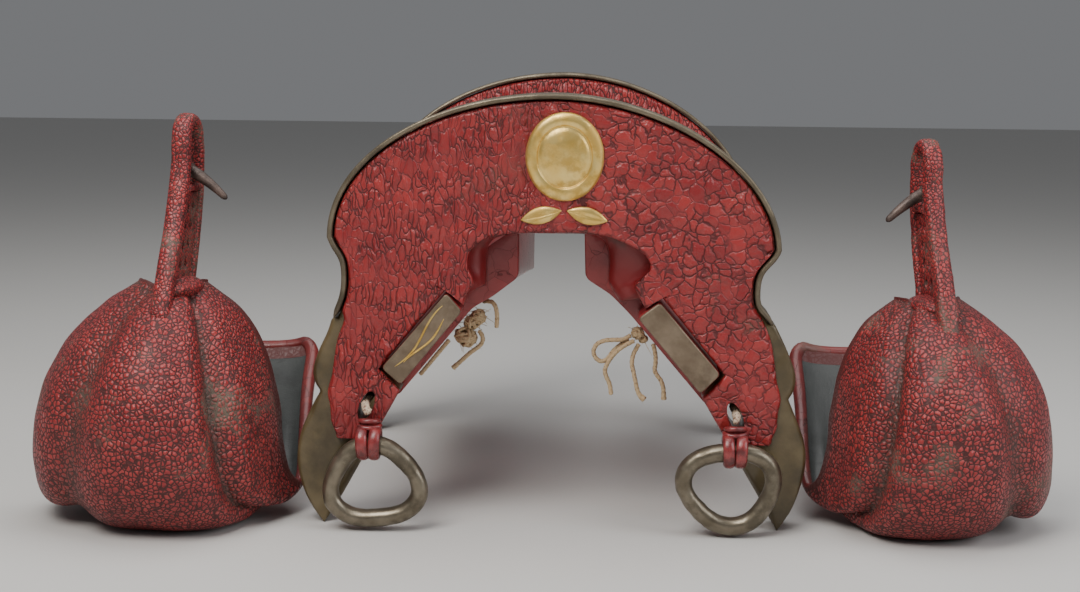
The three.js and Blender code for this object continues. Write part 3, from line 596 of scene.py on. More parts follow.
# %% Cords
TWINE_RADIUS, TWINE_WIDTH, THONG_RADIUS, THONG_WIDTH = 1.59, 0.003, 2.9, 0.0057
TWINE_ENDS = {
    "left_a": [(-50, 44, 147.2), (-48.5, 38, 148.4), (-46, 32, 149), (-43, 29, 148.6),
               (-40.8, 28, 145), (-40, 28, 139), (-40.3, 28, 131.7)],
    "left_b": [(-52.2, 28.5, 129), (-50.2, 28, 126), (-49.7, 28, 122.5), (-51.3, 28, 119.3),
               (-54.5, 28, 116.6), (-58.5, 28, 113.6), (-63.5, 28, 109), (-70, 28, 103)],
    "left_c": [(-72.9, 28, 122.3), (-76.4, 28, 118), (-82.7, 28, 110.3), (-87.8, 28, 104),
               (-92.5, 28.5, 98.2)],
    "right_a": [(51.3, 28, 127.5), (46, 27, 124.9), (40, 26.5, 124.6), (34, 26.5, 124),
                (28.6, 27, 121.4), (26.2, 28, 116.4), (27.9, 28.5, 111.4), (31.8, 29, 109.2),
                (35.8, 29.5, 111), (39.5, 30, 116), (44.2, 30.5, 120.3), (49.8, 31, 124)],
    "right_b": [(53.5, 25, 124.3), (48, 24, 121.5), (43, 24, 118), (39, 24.5, 113.5),
                (36, 25.3, 108.8), (34.2, 26, 103.6), (35.2, 26.5, 99), (37.4, 27, 94),
                (38.7, 27, 86.7)],
    "right_c": [(57, 29, 121.3), (55.2, 29, 118), (53.3, 28.5, 113.8), (52.5, 28, 108.1),
                (53.8, 28, 102), (55, 28, 96.5), (56.5, 28, 90), (58.5, 28, 86), (61.5, 28, 83.2)],
    "right_d": [(66.8, 28.5, 121.6), (67.6, 28, 118.5), (68.6, 28, 113.5), (68.6, 28, 108),
                (68.2, 28, 103.8), (70, 28, 100), (72.6, 28, 96.5), (74.3, 28, 91), (74.8, 28, 83.5)],
}
FAR_ENDS = {"left_c": "object", "right_a": "object", "right_c": "knot"}  # the others end bare
FRAYED = {"left_b": 1.2, "right_c": 1.5, "right_d": 1.25}


def laid_tube(path, radius, strands, pitch, relief, flatten=1.0, sides=20, braid=False, end_swell=1.0):
    """A tube whose radius swells over each strand: r(1 + relief |cos|), turned along the length.

    A braid sums two lays that turn against each other. flatten is the height as a share of the
    width, and end_swell widens a frayed end.
    """
    length = run(path)
    ahead, side, other = square_to(path, [0.0, 1.0, 0.12])
    a = once_round(sides)
    turned = 2 * math.pi * length[:, None] / pitch
    lay = np.abs(np.cos(strands * (a - turned) / 2))
    if braid:
        lay = np.maximum(lay, np.abs(np.cos(strands * (a + turned) / 2)))
    from_end = (length[-1] - length[:, None]) / (2.5 * radius)
    r = (radius * (1 + (end_swell - 1) * np.exp(-(from_end**2))) * (1 - relief + relief * lay))[..., None]
    a = a[:, None]
    rings = path[:, None] + r * (np.cos(a) * side[:, None] + flatten * np.sin(a) * other[:, None])
    return capped(rings, path, ahead, 0.4 * radius)


def metres(points):
    return [tuple(float(v) for v in row) for row in placed(points)]


def cord(name, path, grid, material, stands_for, **says):
    """A cord piece in place of one of the frame's cords."""
    piece = surface(name, grid, material, replaces=(stands_for,))


for name, places in TWINE_ENDS.items():
    path = resampled(smooth_line(places, 24), 140)
    strand = laid_tube(path, TWINE_RADIUS, 2, 6.5, 0.16, end_swell=FRAYED.get(name, 1.0))
    cord(f"twine_{name}", path, strand, twine_fibre, f"twine_end_{name}", diameter=TWINE_WIDTH,
         far_end=FAR_ENDS.get(name, "bare"), stiffness="limp",
         lay="taut" if name == "left_c" else "hanging")

FRONT_LEAN = -0.08
KNOT_RISE = 21.1  # from the top of a ring's wire to the top of its hitch
HITCHES = {"left": dict(x=-122.0, slot=(-125.0, 83.0), side=-1, wire_top=59.234),
           "right": dict(x=120.5, slot=(121.5, 79.0), side=1, wire_top=57.966)}
for name, at in HITCHES.items():
    slot_x, slot_z = at["slot"]
    slot_y, knot_top = FRONT_LEAN * slot_z, at["wire_top"] + KNOT_RISE
    route = [(at["x"], -18.5, knot_top), ((at["x"] + slot_x) / 2, -18.0, (knot_top + slot_z) / 2),
             (slot_x + 0.5 * at["side"], slot_y - 4, slot_z + 1), (slot_x, slot_y + 8, slot_z + 3),
             (slot_x, slot_y + 22, slot_z + 3)]
    path = resampled(smooth_line(route, 24), 120)
    braid = laid_tube(path, THONG_RADIUS, 4, 9.0, 0.2, flatten=0.78, sides=28, braid=True)
    cord(f"thong_{name}", path, braid, braid_fibre, f"hitch_thong_{name}", diameter=THONG_WIDTH,
         far_end="object", stiffness="medium", lay="taut")

# %% [markdown]
# The knots are hanks of the same twine wound over itself: one long strand that runs round and
# round a lumpy ball while its plane of turning drifts. Frayed fibres stand out of them.

# %% Wound knots
LUMPS = {"left": [(-61.5, 30, 124.8, 8.3), (-53, 30, 138.5, 6), (-57.5, 30, 134.3, 5.7)],
         "right": [(56.2, 30, 128.8, 4.8), (60, 32, 124.6, 3.6)]}
LARGE_LUMP, STRAND, HAIR, HAIR_LENGTH, SAG = 5, 1.25, 0.28, 5.5, 0.35


def wound(centre, radius, turns, seed):
    """A strand on a sphere whose axis of turning drifts; its distance from the middle varies."""
    random = np.random.default_rng(seed)
    t = np.linspace(0, 1, 26 * turns)
    spin = 2 * math.pi * turns * t
    tilt = 1.3 * np.sin(2 * math.pi * (1.7 * t + random.uniform())) + random.uniform(0, 3)
    heading = 2 * math.pi * (1.37 * t + random.uniform())
    axis = stacked(np.sin(tilt) * np.cos(heading), np.sin(tilt) * np.sin(heading), np.cos(tilt))
    e1 = unit(np.cross(axis, [0.3, 0.9, 0.2]))
    e2 = np.cross(axis, e1)
    reach = ((radius - STRAND) * (0.93 + 0.1 * np.sin(5.3 * spin / turns * 3 + seed)))[:, None]
    path = np.array(centre) + reach * (np.cos(spin)[:, None] * e1 + np.sin(spin)[:, None] * e2)
    return laid_tube(path, STRAND, 2, 5.0, 0.22, sides=10)


def fibres(centre, radius, count, seed):
    """Thin loose hairs: each starts on the ball, and bends down."""
    random = np.random.default_rng(seed)
    way = unit(random.normal(size=(count, 3)) * [1, 0.5, 1])
    start = np.array(centre) + way * radius * 0.85
    reach = random.uniform(0.4, 1.0, (count, 1, 1)) * HAIR_LENGTH
    t = np.linspace(0, 1, 10)[:, None]
    bend = random.normal(size=(count, 1, 3)) * 0.5 * reach
    paths = start[:, None] + way[:, None] * reach * t + (bend - reach * [0, 0, SAG]) * t**2
    return [tube(path, HAIR * (1 - 0.5 * t[:, 0]), 5) for path in paths]


for name, lumps in LUMPS.items():
    grids = []
    for k, (*centre, radius) in enumerate(lumps):
        turns, hairs = (9, 14) if radius > LARGE_LUMP else (6, 5)
        grids += [wound(centre, radius, turns, 5 + k), *fibres(centre, radius, hairs, 70 + k)]
    surface(f"twine_wound_{name}", grids, twine_fibre, replaces=(f"twine_knot_{name}",))

# %% [markdown]
# ## The two arches
# Each arch is a thick wooden board cut to an outline: a round crown, a hand notch, a swelling
# flank, a leaf shaped toe, and a cusped opening inside. The outline of each half is kept as
# two lines, the outer from the top down to the toe's tip, and the inner from the top of the
# opening down to the same tip. Pairs of places that face each other tie the two lines
# together, so that a surface can be drawn between them.

# %% Outlines of the two halves
HALVES = {
    "left": dict(
        crown=(149.5, 197.0, 292.5, 2.0),
        flank=[(147, 191), (141.5, 181), (140.5, 169), (142, 158), (147, 145), (151, 133),
               (157, 120), (161, 107), (160, 98), (156.5, 92)],
        toe=[(156.5, 92), (163, 80), (170.5, 62), (173, 44), (170, 26), (163, 10), (155, GROUND)],
        lobe=[(16, 201.5), (36, 200), (48, 196), (56, 188), (57, 178), (53.5, 168), (59, 159)],
        cove=[(16, 199), (36, 197), (45, 190), (46, 176), (47, 160)],
        notch=[(59.5, 152.5), (71.5, 163), (116.5, 108.5), (102.5, 94)],
        inner_toe=[(119, 64), (130, 43), (142, 21), (149, 9), (155, GROUND)],
        pairs=[((106, 264), (50, 195)), ((139, 231), (59.5, 152.5)), ((149.5, 200), (71.5, 163)),
               ((157, 120), (116.5, 108.5)), ((159, 96), (102.5, 94)), ((165, 76), (119, 64)),
               ((173, 44), (131, 43)), ((170, 26), (142, 21)), ((163, 10), (149, 9))]),
    "right": dict(
        crown=(148.0, 191.5, 292.5, 1.86),
        flank=[(145, 186), (137, 176), (135, 165), (136.5, 155), (143, 147), (150, 134),
               (156, 121), (160.5, 108), (160, 98), (156.5, 91)],
        toe=[(156.5, 91), (162, 78), (168, 62), (169.5, 46), (166, 28), (160, 12), (151.5, GROUND)],
        lobe=[(16, 202), (34, 200), (47, 195), (58, 189), (63, 180), (59, 172), (53, 167),
              (60, 151.9)],
        cove=[(16, 199), (27, 198), (34, 192), (36, 180), (36, 166), (44, 152)],
        notch=[(60, 151.9), (70.9, 159.8), (113.5, 107.5), (99, 91.5)],
        inner_toe=[(114, 66), (125, 46), (138, 24), (146, 9), (151.5, GROUND)],
        pairs=[((108, 262), (52, 193)), ((139, 228), (60, 151.9)), ((148, 195), (70.9, 159.8)),
               ((157, 118), (113.5, 107.5)), ((158, 95), (99, 91.5)), ((163, 76), (114, 66)),
               ((169.5, 46), (125, 46)), ((166, 28), (138, 24)), ((160, 12), (146, 9))]),
}
PANEL_EDGE = [(139.5, 141), (143.5, 130), (146, 117), (148, 104), (151, 92), (149.5, 82), (149, 72),
              (146.5, 65), (145.5, 60)]
PANEL_FOOT, PANEL_TOP = (133, 60), 148
RIM_WIDTH, RIM_FOOT, ARCH_DEPTH, LEATHER, GAP = 3.4, 143.0, 26.0, 3.0, 0.3
ARCHES = {
    "front_arch": dict(y=0.0, lean=FRONT_LEAN, wider=1.0, taller=0.0),
    "rear_arch": dict(y=296.0, lean=0.1367, wider=1.02, taller=7.0),
}
REAR = ARCHES["rear_arch"]


def crown_line(half, shoulder, top, power):
    """A quarter of a superellipse, from the top out to the shoulder."""
    angle = np.linspace(0, math.pi / 2, 60)
    rise = np.maximum(np.cos(angle), 0) ** (2 / power)
    return stacked(half * np.sin(angle) ** (2 / power), shoulder + (top - shoulder) * rise)


def half_lines(side, wider, taller):
    """The named lines of one half, x outwards; the rear arch is a little wider and taller."""
    rows = HALVES[side]
    half, shoulder, top, power = rows["crown"]
    crown = crown_line(half, shoulder, top + taller, power)
    flank = smooth_line([crown[-1], *rows["flank"]], 10)[1:]
    toe, lobe, cove = [smooth_line(rows[key]) for key in ("toe", "lobe", "cove")]
    rest = [*rows["notch"][1:], *rows["inner_toe"]]
    lines = {"rim": np.concatenate([crown, flank]), "outer": np.concatenate([crown, flank, toe[1:]]),
             "inner": np.concatenate([[(0, lobe[0, 1])], lobe, rows["notch"][:1], rest]),
             "back": np.concatenate([[(0, cove[0, 1])], cove, rest])}
    return {key: np.asarray(line, float) * [wider, 1] for key, line in lines.items()}


def facing_pairs(side, wider, on_back=False, count=9):
    """The places that face each other; the back of the opening has no second pair."""
    pairs = [((a * wider, b), (c * wider, d)) for (a, b), (c, d) in HALVES[side]["pairs"][:count]]
    return [pairs[0], *pairs[2:]] if on_back else pairs


def nearest_length(line, place):
    """The running length at which a line comes nearest to a place."""
    fine = resampled(line, 1500)
    return run(line)[-1] * np.argmin(np.linalg.norm(fine - place, axis=1)) / 1499


def facing_lines(outer, inner, pairs, count):
    """Points on two lines, tied at pairs of places, with about the same number in every span."""
    ends = [(outer[0], inner[0]), *pairs, (outer[-1], inner[-1])]
    spans = np.array([[nearest_length(outer, a), nearest_length(inner, b)] for a, b in ends])
    longest = np.diff(spans, axis=0).max(axis=1)
    per_span = np.maximum(4, np.round(count * longest / longest.sum())).astype(int)
    steps = np.concatenate([np.linspace(a, b, n, endpoint=False)
                            for a, b, n in zip(spans[:-1], spans[1:], per_span)] + [spans[-1:]])
    return at_lengths(outer, steps[:, 0]), at_lengths(inner, steps[:, 1])


def both_halves(left, right):
    """Joins the mirrored left half, read from its foot up, to the right half, read down."""
    flip = np.ones(left.shape[-1])
    flip[0] = -1
    return np.concatenate([left[::-1] * flip, right[1:]])


# %% [markdown]
# The section of the wood at each station is a closed loop: the front face, a rounded edge, the
# wall of the opening, the back face and the outer wall. The opening is carved in two steps: a
# thin shiny lobe in front, and a hollow cove behind it that runs wider.

# %% Wood of an arch
EDGE_ROUND, LIP_ROUND, THIN_SHARE = 3.5, 5.0, 0.3  # roundings; at most this share of the width
LOBE_DEPTH, WALL_GAP = 11.0, 0.3


def leaned(points, y, lean):
    """Stands a drawing up at depth y and shears it back with height."""
    out = points.copy()
    out[..., 1] += y + lean * out[..., 2]
    return out


def arch_section(outer, inner, back):
    """For each station, a loop of (way in, depth, share of the back line) turned into places.

    The way in runs from the outer edge to the inner one; beyond the lobe's edge the loop
    follows the back line, whose place at the same station replaces the inner line's.
    """
    width = np.linalg.norm(inner - outer, axis=1)[:, None]
    near, lip = np.minimum(EDGE_ROUND, THIN_SHARE * width), np.minimum(LIP_ROUND, THIN_SHARE * width)
    turn, across = np.linspace(0, math.pi / 2, 7), np.linspace(0, 1, 26)
    wall = np.linspace(WALL_GAP, ARCH_DEPTH - LOBE_DEPTH - 2, 7)
    loops = [
        (near - near * np.sin(turn[::-1]), near - near * np.cos(turn[::-1]), 0),
        (near + (width - near - lip) * across, 0, 0),
        (width - lip + lip * np.sin(turn), lip - lip * np.cos(turn), 0),
        (width, np.linspace(LOBE_DEPTH / 2, LOBE_DEPTH, 4), 0),
        (width, LOBE_DEPTH + wall, np.sin(turn) ** 0.6),
        (width - near - (width - 2 * near) * across, ARCH_DEPTH, 1 - across),
        (near - near * np.sin(turn), ARCH_DEPTH - near + near * np.cos(turn), 0),
    ]
    share, y, behind = np.moveaxis(np.concatenate([stacked(*loop) for loop in loops], axis=1), -1, 0)
    share = share / width.clip(1e-6)
    face = outer[:, None] + (inner - outer)[:, None] * share[..., None]
    face = face + (back - inner)[:, None] * (behind * share)[..., None]
    return stacked(face[..., 0], y, face[..., 1])


def arch_core(label, y, lean, wider, taller, count=150):
    halves = {}
    for side in HALVES:
        lines, pairs = half_lines(side, wider, taller), facing_pairs(side, wider)
        seat = shifted(lines["rim"], RIM_WIDTH + GAP)
        edge = np.where(lines["rim"][:, 1:] > RIM_FOOT, seat, lines["rim"])
        edge = np.concatenate([edge, lines["outer"][len(lines["rim"]):]])
        outer, inner = facing_lines(edge, lines["inner"], pairs, count)
        _, back = facing_lines(edge, lines["back"], facing_pairs(side, wider, True), count)
        old, new = np.linspace(0, 1, len(back)), np.linspace(0, 1, len(outer))
        back = stacked(*[np.interp(new, old, column) for column in back.T])
        below = inner[:, 1:] < pairs[1][1][1] + 6
        halves[side] = arch_section(outer, inner, np.where(below, inner, back))
    rows = both_halves(halves["left"], halves["right"])
    ripple = 0.5 * waves(rows, 40, 3) + 0.25 * waves(rows, 13, 5)
    rows[..., 1] += np.where(rows[..., 1] < 1.0, ripple, 0)
    return surface(f"{label}_wood", leaned(rows, y, lean), toe_lacquer, replaces=(f"{label}_core",))


woods = {label: arch_core(label, **stand) for label, stand in ARCHES.items()}

# %% [markdown]
# The leather panel is glued over the wood between the edge band and the opening. It is a
# closed sheet a few millimetres thick whose edges roll over, and its face swells and wrinkles
# a little, because the leather was stretched over a padded ground.

# %% Leather panels
ROLL, PANEL_INSET, PANEL_PAIRS = 2.6, 0.8, 5


def panel(label, which, material, on_back, count=170):
    """A sheet between two lines: depth falls away near the edges as a quarter circle."""
    halves = {}
    y, lean, wider, taller = ARCHES[label].values()
    for side in HALVES:
        lines = half_lines(side, wider, taller)
        foot = np.array([PANEL_FOOT]) * [wider, 1]
        rim = shifted(lines["rim"], RIM_WIDTH + GAP + PANEL_INSET)
        rim = rim[rim[:, 1] > PANEL_TOP]
        lower = smooth_line([rim[-1], *[(a * wider, b) for a, b in PANEL_EDGE]], 8)[1:]
        inner = lines["back" if on_back else "inner"]
        stop = nearest_length(inner, HALVES[side]["inner_toe"][0] * np.array([wider, 1]))
        inner = at_lengths(inner, np.unique(np.append(run(inner)[run(inner) < stop], stop)))
        halves[side] = facing_lines(np.concatenate([rim, lower, foot]), np.concatenate([inner, foot]),
                                    facing_pairs(side, wider, on_back, PANEL_PAIRS), count)
    outer, inner = [both_halves(halves["left"][k], halves["right"][k]) for k in (0, 1)]
    width = np.linalg.norm(inner - outer, axis=1)[:, None]
    share = 0.5 - 0.5 * np.cos(np.linspace(0, math.pi, 60))[None, :]
    flat = outer[:, None] + (inner - outer)[:, None] * share[..., None]
    reach = np.minimum(np.minimum(share, 1 - share) * width, ROLL)
    fall = ROLL - np.sqrt(np.maximum(ROLL**2 - (ROLL - reach) ** 2, 0))
    face = stacked(flat[..., 0], fall, flat[..., 1])
    relief = 0.55 * waves(face, 34, 11) + 0.35 * waves(face, 15, 12)
    face[..., 1] -= relief * np.clip(reach / ROLL, 0, 1) ** 2
    backing = stacked(flat[..., 0], LEATHER, flat[..., 1])
    y0 = -LEATHER - GAP
    if on_back:
        face[..., 1], backing[..., 1] = LEATHER - face[..., 1], LEATHER - backing[..., 1]
        y0 = ARCH_DEPTH + GAP
    sheet = leaned(np.concatenate([face, backing[:, ::-1]], axis=1), y + y0, lean)
    return surface(f"{label}_{which}_cover", sheet, material, replaces=(f"{label}_{which}",))


front_covers = [panel("front_arch", "leather", arch_leather, False),
                panel("front_arch", "inner_leather", board_leather, True)]
panel("rear_arch", "leather", rear_leather, False)
panel("rear_arch", "inner_leather", rear_leather, True)

# %% [markdown]
# A dull metal band wraps the edge of each arch from one hand notch over the crown to the
# other. It is one rounded section carried along the outline, a little proud of the leather.

# %% Edge bands
BAND_LOW, BAND_HIGH = -LEATHER - 2, ARCH_DEPTH + LEATHER + 2


def rounded_box(width, depth, radius):
    """A closed loop round a rectangle with quarter circles at its corners."""
    w, d = width / 2 - radius, depth / 2 - radius
    a = np.linspace(0, math.pi / 2, 5) + np.arange(4)[:, None] * math.pi / 2
    x, y = np.array([w, -w, -w, w])[:, None], np.array([d, d, -d, -d])[:, None]
    return stacked(x + radius * np.cos(a), y + radius * np.sin(a)).reshape(-1, 2)


def edge_band(label, y, lean, wider, taller):
    middles = []
    for side in HALVES:
        line = half_lines(side, wider, taller)["rim"]
        middle = shifted(line, RIM_WIDTH / 2)
        middles.append(np.concatenate([middle, line - middle], axis=1)[line[:, 1] > RIM_FOOT])
    rows = resampled(np.concatenate([middles[0][::-1] * [-1, 1, -1, 1], middles[1][1:]]), 260)
    middle, across = rows[:, :2], unit(rows[:, 2:])
    ends = np.minimum(np.arange(len(rows)), np.arange(len(rows))[::-1])
    round_off = np.sqrt(np.clip(ends / 3.0, 0.05, 1))[:, None]
    width, depth = rounded_box(RIM_WIDTH, BAND_HIGH - BAND_LOW, 1.5).T
    points = middle[:, None] + across[:, None] * (width * round_off)[..., None]
    depth = (BAND_LOW + BAND_HIGH) / 2 + depth * (1 - 0.04 * (1 - round_off))
    band = stacked(points[..., 0], depth, points[..., 1])
    band[..., 1] += 0.25 * waves(band * [1, 0, 1], 22, 21)
    surface(f"{label}_band", leaned(band, y, lean), edge_metal, replaces=(f"{label}_rim",))


for label, stand in ARCHES.items():
    edge_band(label, **stand)

# %% [markdown]
# ## Seat boards
# Two boards join the arches. Their bodies hold the rider, and their tips stand out through
# the notches of both arches. A board is a closed section carried from front to back, and its
# tip is a rounded bar with a satin metal plate on its end.

# %% Seat boards
BOARDS = {
    -1: dict(top=[(25, 203), (50, 186)], tip=[(70.8, 161.8), (115, 109.5), (102, 98), (60, 149.5)],
             under=[(43, 154), (25, 168)]),
    1: dict(top=[(19, 203), (48, 184)], tip=[(69, 157.5), (111, 108.5), (98, 95), (54.5, 146.5)],
            under=[(37, 157), (20, 168)]),
}
FLAP, UNDER, SEAT_FRONT, SEAT_REAR, SPINE_REAR = 15.0, 5.0, 29.6, 292.4, 136.0
SPINE_REACH = 26  # corners nearer than this to the middle keep their place at the rear
TIP_SIZE, PLATE_SIZE = 0.985, 0.97  # shares of the notch
FRONT_TIP, REAR_TIP = (-15, 45), (290, 352)
PLATES = {"front": (-16.6, -12.5, 1.0), "rear": (349.5, 353.2, REAR["wider"])}


def corner_loop(corners, radius):
    """A closed polygon whose corners are cut by quadratic curves, with points between them."""
    c = np.asarray(corners, float)
    before, after = [c + way * np.minimum(radius / np.linalg.norm(way, axis=1, keepdims=True), 0.45)
                     for way in (np.roll(c, 1, axis=0) - c, np.roll(c, -1, axis=0) - c)]
    t = np.linspace(0, 1, 5)[:, None]
    loop = (1 - t) ** 2 * before[:, None] + 2 * t * (1 - t) * c[:, None] + t**2 * after[:, None]
    loop = loop.reshape(-1, 2)
    t = np.linspace(0, 1, 12, endpoint=False)[:, None]
    return (loop[:, None] * (1 - t) + np.roll(loop, -1, axis=0)[:, None] * t).reshape(-1, 2)


def bar(loop_front, loop_rear, front, rear, rounding=1.6, front_lean=0, rear_lean=0):
    """A solid bar between two loops at two depths; its ends roll over as quarter circles.

    An end's lean is the growth of its depth with height.
    """
    turn, end, span = np.linspace(0, math.pi / 2, 6), np.zeros(3), np.linspace(0, 1, 24)
    share = np.concatenate([end, 0 * turn, span, 1 + 0 * turn, end + 1])[:, None]

    def both_ends(at_end, rolled, between):
        half = np.concatenate([end + at_end, rolled])
        return np.concatenate([half, 0 * span + between, half[::-1]])[:, None]

    step = both_ends(0, rounding * (1 - np.cos(turn)), rounding)
    inset = both_ends(rounding, rounding * (1 - np.sin(turn)), 0)[..., None]
    shrink = both_ends(np.array([0, 0.35, 0.7]), 1 + 0 * turn, 1)[..., None]
    rows = loop_front * (1 - share[..., None]) + loop_rear * share[..., None]
    middle = rows.mean(axis=1, keepdims=True)
    away = rows - middle
    away = away * (1 - inset / np.linalg.norm(away, axis=2, keepdims=True)) * shrink
    x, z = np.moveaxis(middle + away, -1, 0)
    y = (front + front_lean * z + step) * (1 - share) + (rear + rear_lean * z - step) * share
    return stacked(x, y, z)


def board(side, top, tip, under):
    name = "left" if side < 0 else "right"
    mirror, wider = np.array([side, 1.0]), np.array([REAR["wider"], 1.0])
    upper, outer, inner, lower = tip = np.array(tip, float)
    along = unit(outer - upper)
    down, thicker = along * FLAP, np.array([along[1], -along[0]]) * UNDER
    section = np.array([*top, upper, outer + down, inner + down + thicker, lower + thicker, *under])
    rear_section = section * np.where(section[:, :1] < SPINE_REACH, 1.0, wider)
    rear_section[-1, 1] = SPINE_REAR
    seat = bar(corner_loop(section, 4.0) * mirror, corner_loop(rear_section, 4.0) * mirror,
               SEAT_FRONT, SEAT_REAR, front_lean=FRONT_LEAN, rear_lean=REAR["lean"])
    centre = tip.mean(axis=0)
    tip_loop, plate_loop = [corner_loop(centre + (tip - centre) * size, 3.0) * mirror
                            for size in (TIP_SIZE, PLATE_SIZE)]
    tips = [bar(loop, loop, *ends) for loop, ends in ((tip_loop, FRONT_TIP), (tip_loop * wider, REAR_TIP))]
    surface(f"seat_board_{name}_wood", [seat, *tips], board_leather, replaces=(f"seat_board_{name}",))
    for end, (y0, y1, scale) in PLATES.items():
        loop = plate_loop * [scale, 1]
        surface(f"board_plate_{name}_{end}", bar(loop, loop, y0, y1, 1.2), tip_metal)
    return centre * mirror, along * mirror


tips = {side: board(side, **rows) for side, rows in BOARDS.items()}

# %% [markdown]
# Two plain wave lines of gold are laid on the end plate of the left tip. Each is a thin tube
# along a sine, tapered at both ends.

# %% Wave lines on the left tip
WAVE_LINES = [(-2.4, 2.6, 26, 0.4), (2.6, 2.0, 20, 2.2)]  # shift across, height, half span, phase
LINE_DEPTH, LINE_RADIUS = -16.7, 0.75
centre, along_tip = tips[-1]
across_tip = np.array([-along_tip[1], along_tip[0]])
t = np.linspace(-1, 1, 60)[:, None]
for number, (shift, size, span, phase) in enumerate(WAVE_LINES, 1):
    line = centre + along_tip * t * span + across_tip * (shift + size * np.sin(2.6 * t + phase))
    path = stacked(line[:, 0], LINE_DEPTH, line[:, 1])
    surface(f"gilt_line_{number}", tube(path, LINE_RADIUS * np.sqrt(1.02 - t[:, 0] ** 2), 8), gilt)

# %% [markdown]
# ## Gilt ornament
# The real object bears a family's crest here. In its place there is a plain oval boss with
# one sunk ring, and two almond leaves below it: the same gilt, the same scale, nobody's mark.

# %% Boss and leaves
BOSS = dict(x=6.0, z=252.0, wide=25.5, tall=29.0)
BOSS_PROFILE = [(0, 5.4), (9, 5), (16, 3.6), (19.5, 2.2), (21, 3.4), (24, 3.8), (27, 2.9),
                (28.8, 1.2), (29, 0)]  # distance from the middle, height
ORNAMENT_Y = -LEATHER - 2 * GAP
LEAVES = {"left": (-9, 213.5, -14), "right": (21, 213.5, 14)}  # x, z, tilt
LEAF_SPAN, LEAF_WIDTH, LEAF_RISE, VEIN = 14.0, 5.75, 2.6, 0.9

reach, rise = smooth_line(BOSS_PROFILE, 8).T[..., None]
reach, angle = reach / BOSS_PROFILE[-1][0], once_round(96)
boss = stacked(BOSS["x"] + BOSS["wide"] * reach * np.cos(angle), ORNAMENT_Y - rise,
               BOSS["z"] + BOSS["tall"] * reach * np.sin(angle))
surface("gilt_boss_face", leaned(boss, 0, FRONT_LEAN), gilt, replaces=("gilt_boss",))

s, a = np.linspace(-1, 1, 41)[:, None], np.linspace(-math.pi / 2, math.pi / 2, 21)
taper = 1 - s**2
rise = LEAF_RISE * taper**0.5 * np.maximum(np.cos(a), 0) ** 0.7
rise = rise - VEIN * np.exp(-((np.sin(a) / 0.16) ** 2)) * taper
u, w = LEAF_SPAN * s, LEAF_WIDTH * taper * np.sin(a)
for side, (x, z, tilt) in LEAVES.items():
    c, n = math.cos(math.radians(tilt)), math.sin(math.radians(tilt))
    leaf = stacked(x + c * u + n * w, ORNAMENT_Y - np.maximum(rise, 0), z - n * u + c * w)
    surface(f"gilt_leaf_{side}_face", leaned(leaf, 0, FRONT_LEAN), gilt, closed=False,
            replaces=(f"gilt_leaf_{side}",))

# %% [markdown]
# ## Rings and their hitches
# Each ring hangs in two leather bands, tied on by a braided thong that goes back through a
# slot in the toe. The rings are hand forged: their middle line is an oval pressed towards a
# rounded triangle, r = 1 + bulge cos 3(a - corner).

# %% Rings
RING = dict(reach=29.2, rise=25.0, wire=6.0, bulge=0.07, y=-20.5)
RINGS = {"left": dict(x=-118.5, z=32.6, corner=97), "right": dict(x=117.5, z=34.6, corner=37)}


def ring_reach(angle, corner):
    return 1 + RING["bulge"] * np.cos(3 * (angle - math.radians(corner)))


for side, at in RINGS.items():
    a, b = once_round(120)[:, None], once_round(24)
    wire = RING["wire"] * (1 - 0.04 * np.sin(2 * a + 1))
    out = ring_reach(a, at["corner"])
    ring = stacked(at["x"] + np.cos(a) * (RING["reach"] * out + wire * np.cos(b)),
                   RING["y"] + wire * np.sin(b),
                   at["z"] + np.sin(a) * (RING["rise"] * out + wire * np.cos(b)))
    ring += 0.12 * waves(ring, 9, 31)[..., None]
    surface(f"ring_{side}_wire", wrapped(ring), ring_metal, body=f"ring_{side}",
            replaces=(f"ring_{side}",))

# %% [markdown]
# The thong goes back through an oval slot in the toe. The slot is a real opening: a closed
# oval rod is cut out of the wood and both leathers by a boolean, and the result is kept.

# %% Slots for the thongs
SLOT = dict(half_width=4.6, half_length=11.0, tilt=22.0, front=-30, rear=45)


def pierced(piece, points):
    """Cuts a closed grid of points, as a solid, out of a piece."""
    mesh = bpy.data.meshes.new("cutter")
    rows, columns = points.shape[:2]
    mesh.from_pydata(placed(points).reshape(-1, 3), [], grid_faces(rows, columns))
    made_solid(mesh, FINE_WELD)
    cutter = linked("cutter", mesh)
    cut = piece.modifiers.new("slot", "BOOLEAN")
    cut.operation, cut.solver, cut.object = "DIFFERENCE", "EXACT", cutter
    mesh = final_mesh(piece)
    piece.modifiers.remove(cut)
    piece.data = mesh
    bpy.data.objects.remove(cutter)
    print(f"{piece.name}: slot cut, {len(mesh.polygons)} faces")


for side, at in HITCHES.items():
    a, tilt = once_round(40), math.radians(SLOT["tilt"])
    c, n = math.cos(tilt), math.sin(tilt) * at["side"]
    w, u = SLOT["half_width"] * np.cos(a), SLOT["half_length"] * np.sin(a)
    y = np.linspace(SLOT["front"], SLOT["rear"], 4)[:, None]
    rod = stacked(at["slot"][0] + w * c - u * n, y, at["slot"][1] + w * n + u * c)
    for piece in (woods["front_arch"], *front_covers):
        pierced(piece, rod)

# %% [markdown]
# Two leather bands hang side by side round each ring's wire, and a thinner band is wound twice
# round them above it. Each is a rounded section bent into a closed oval.

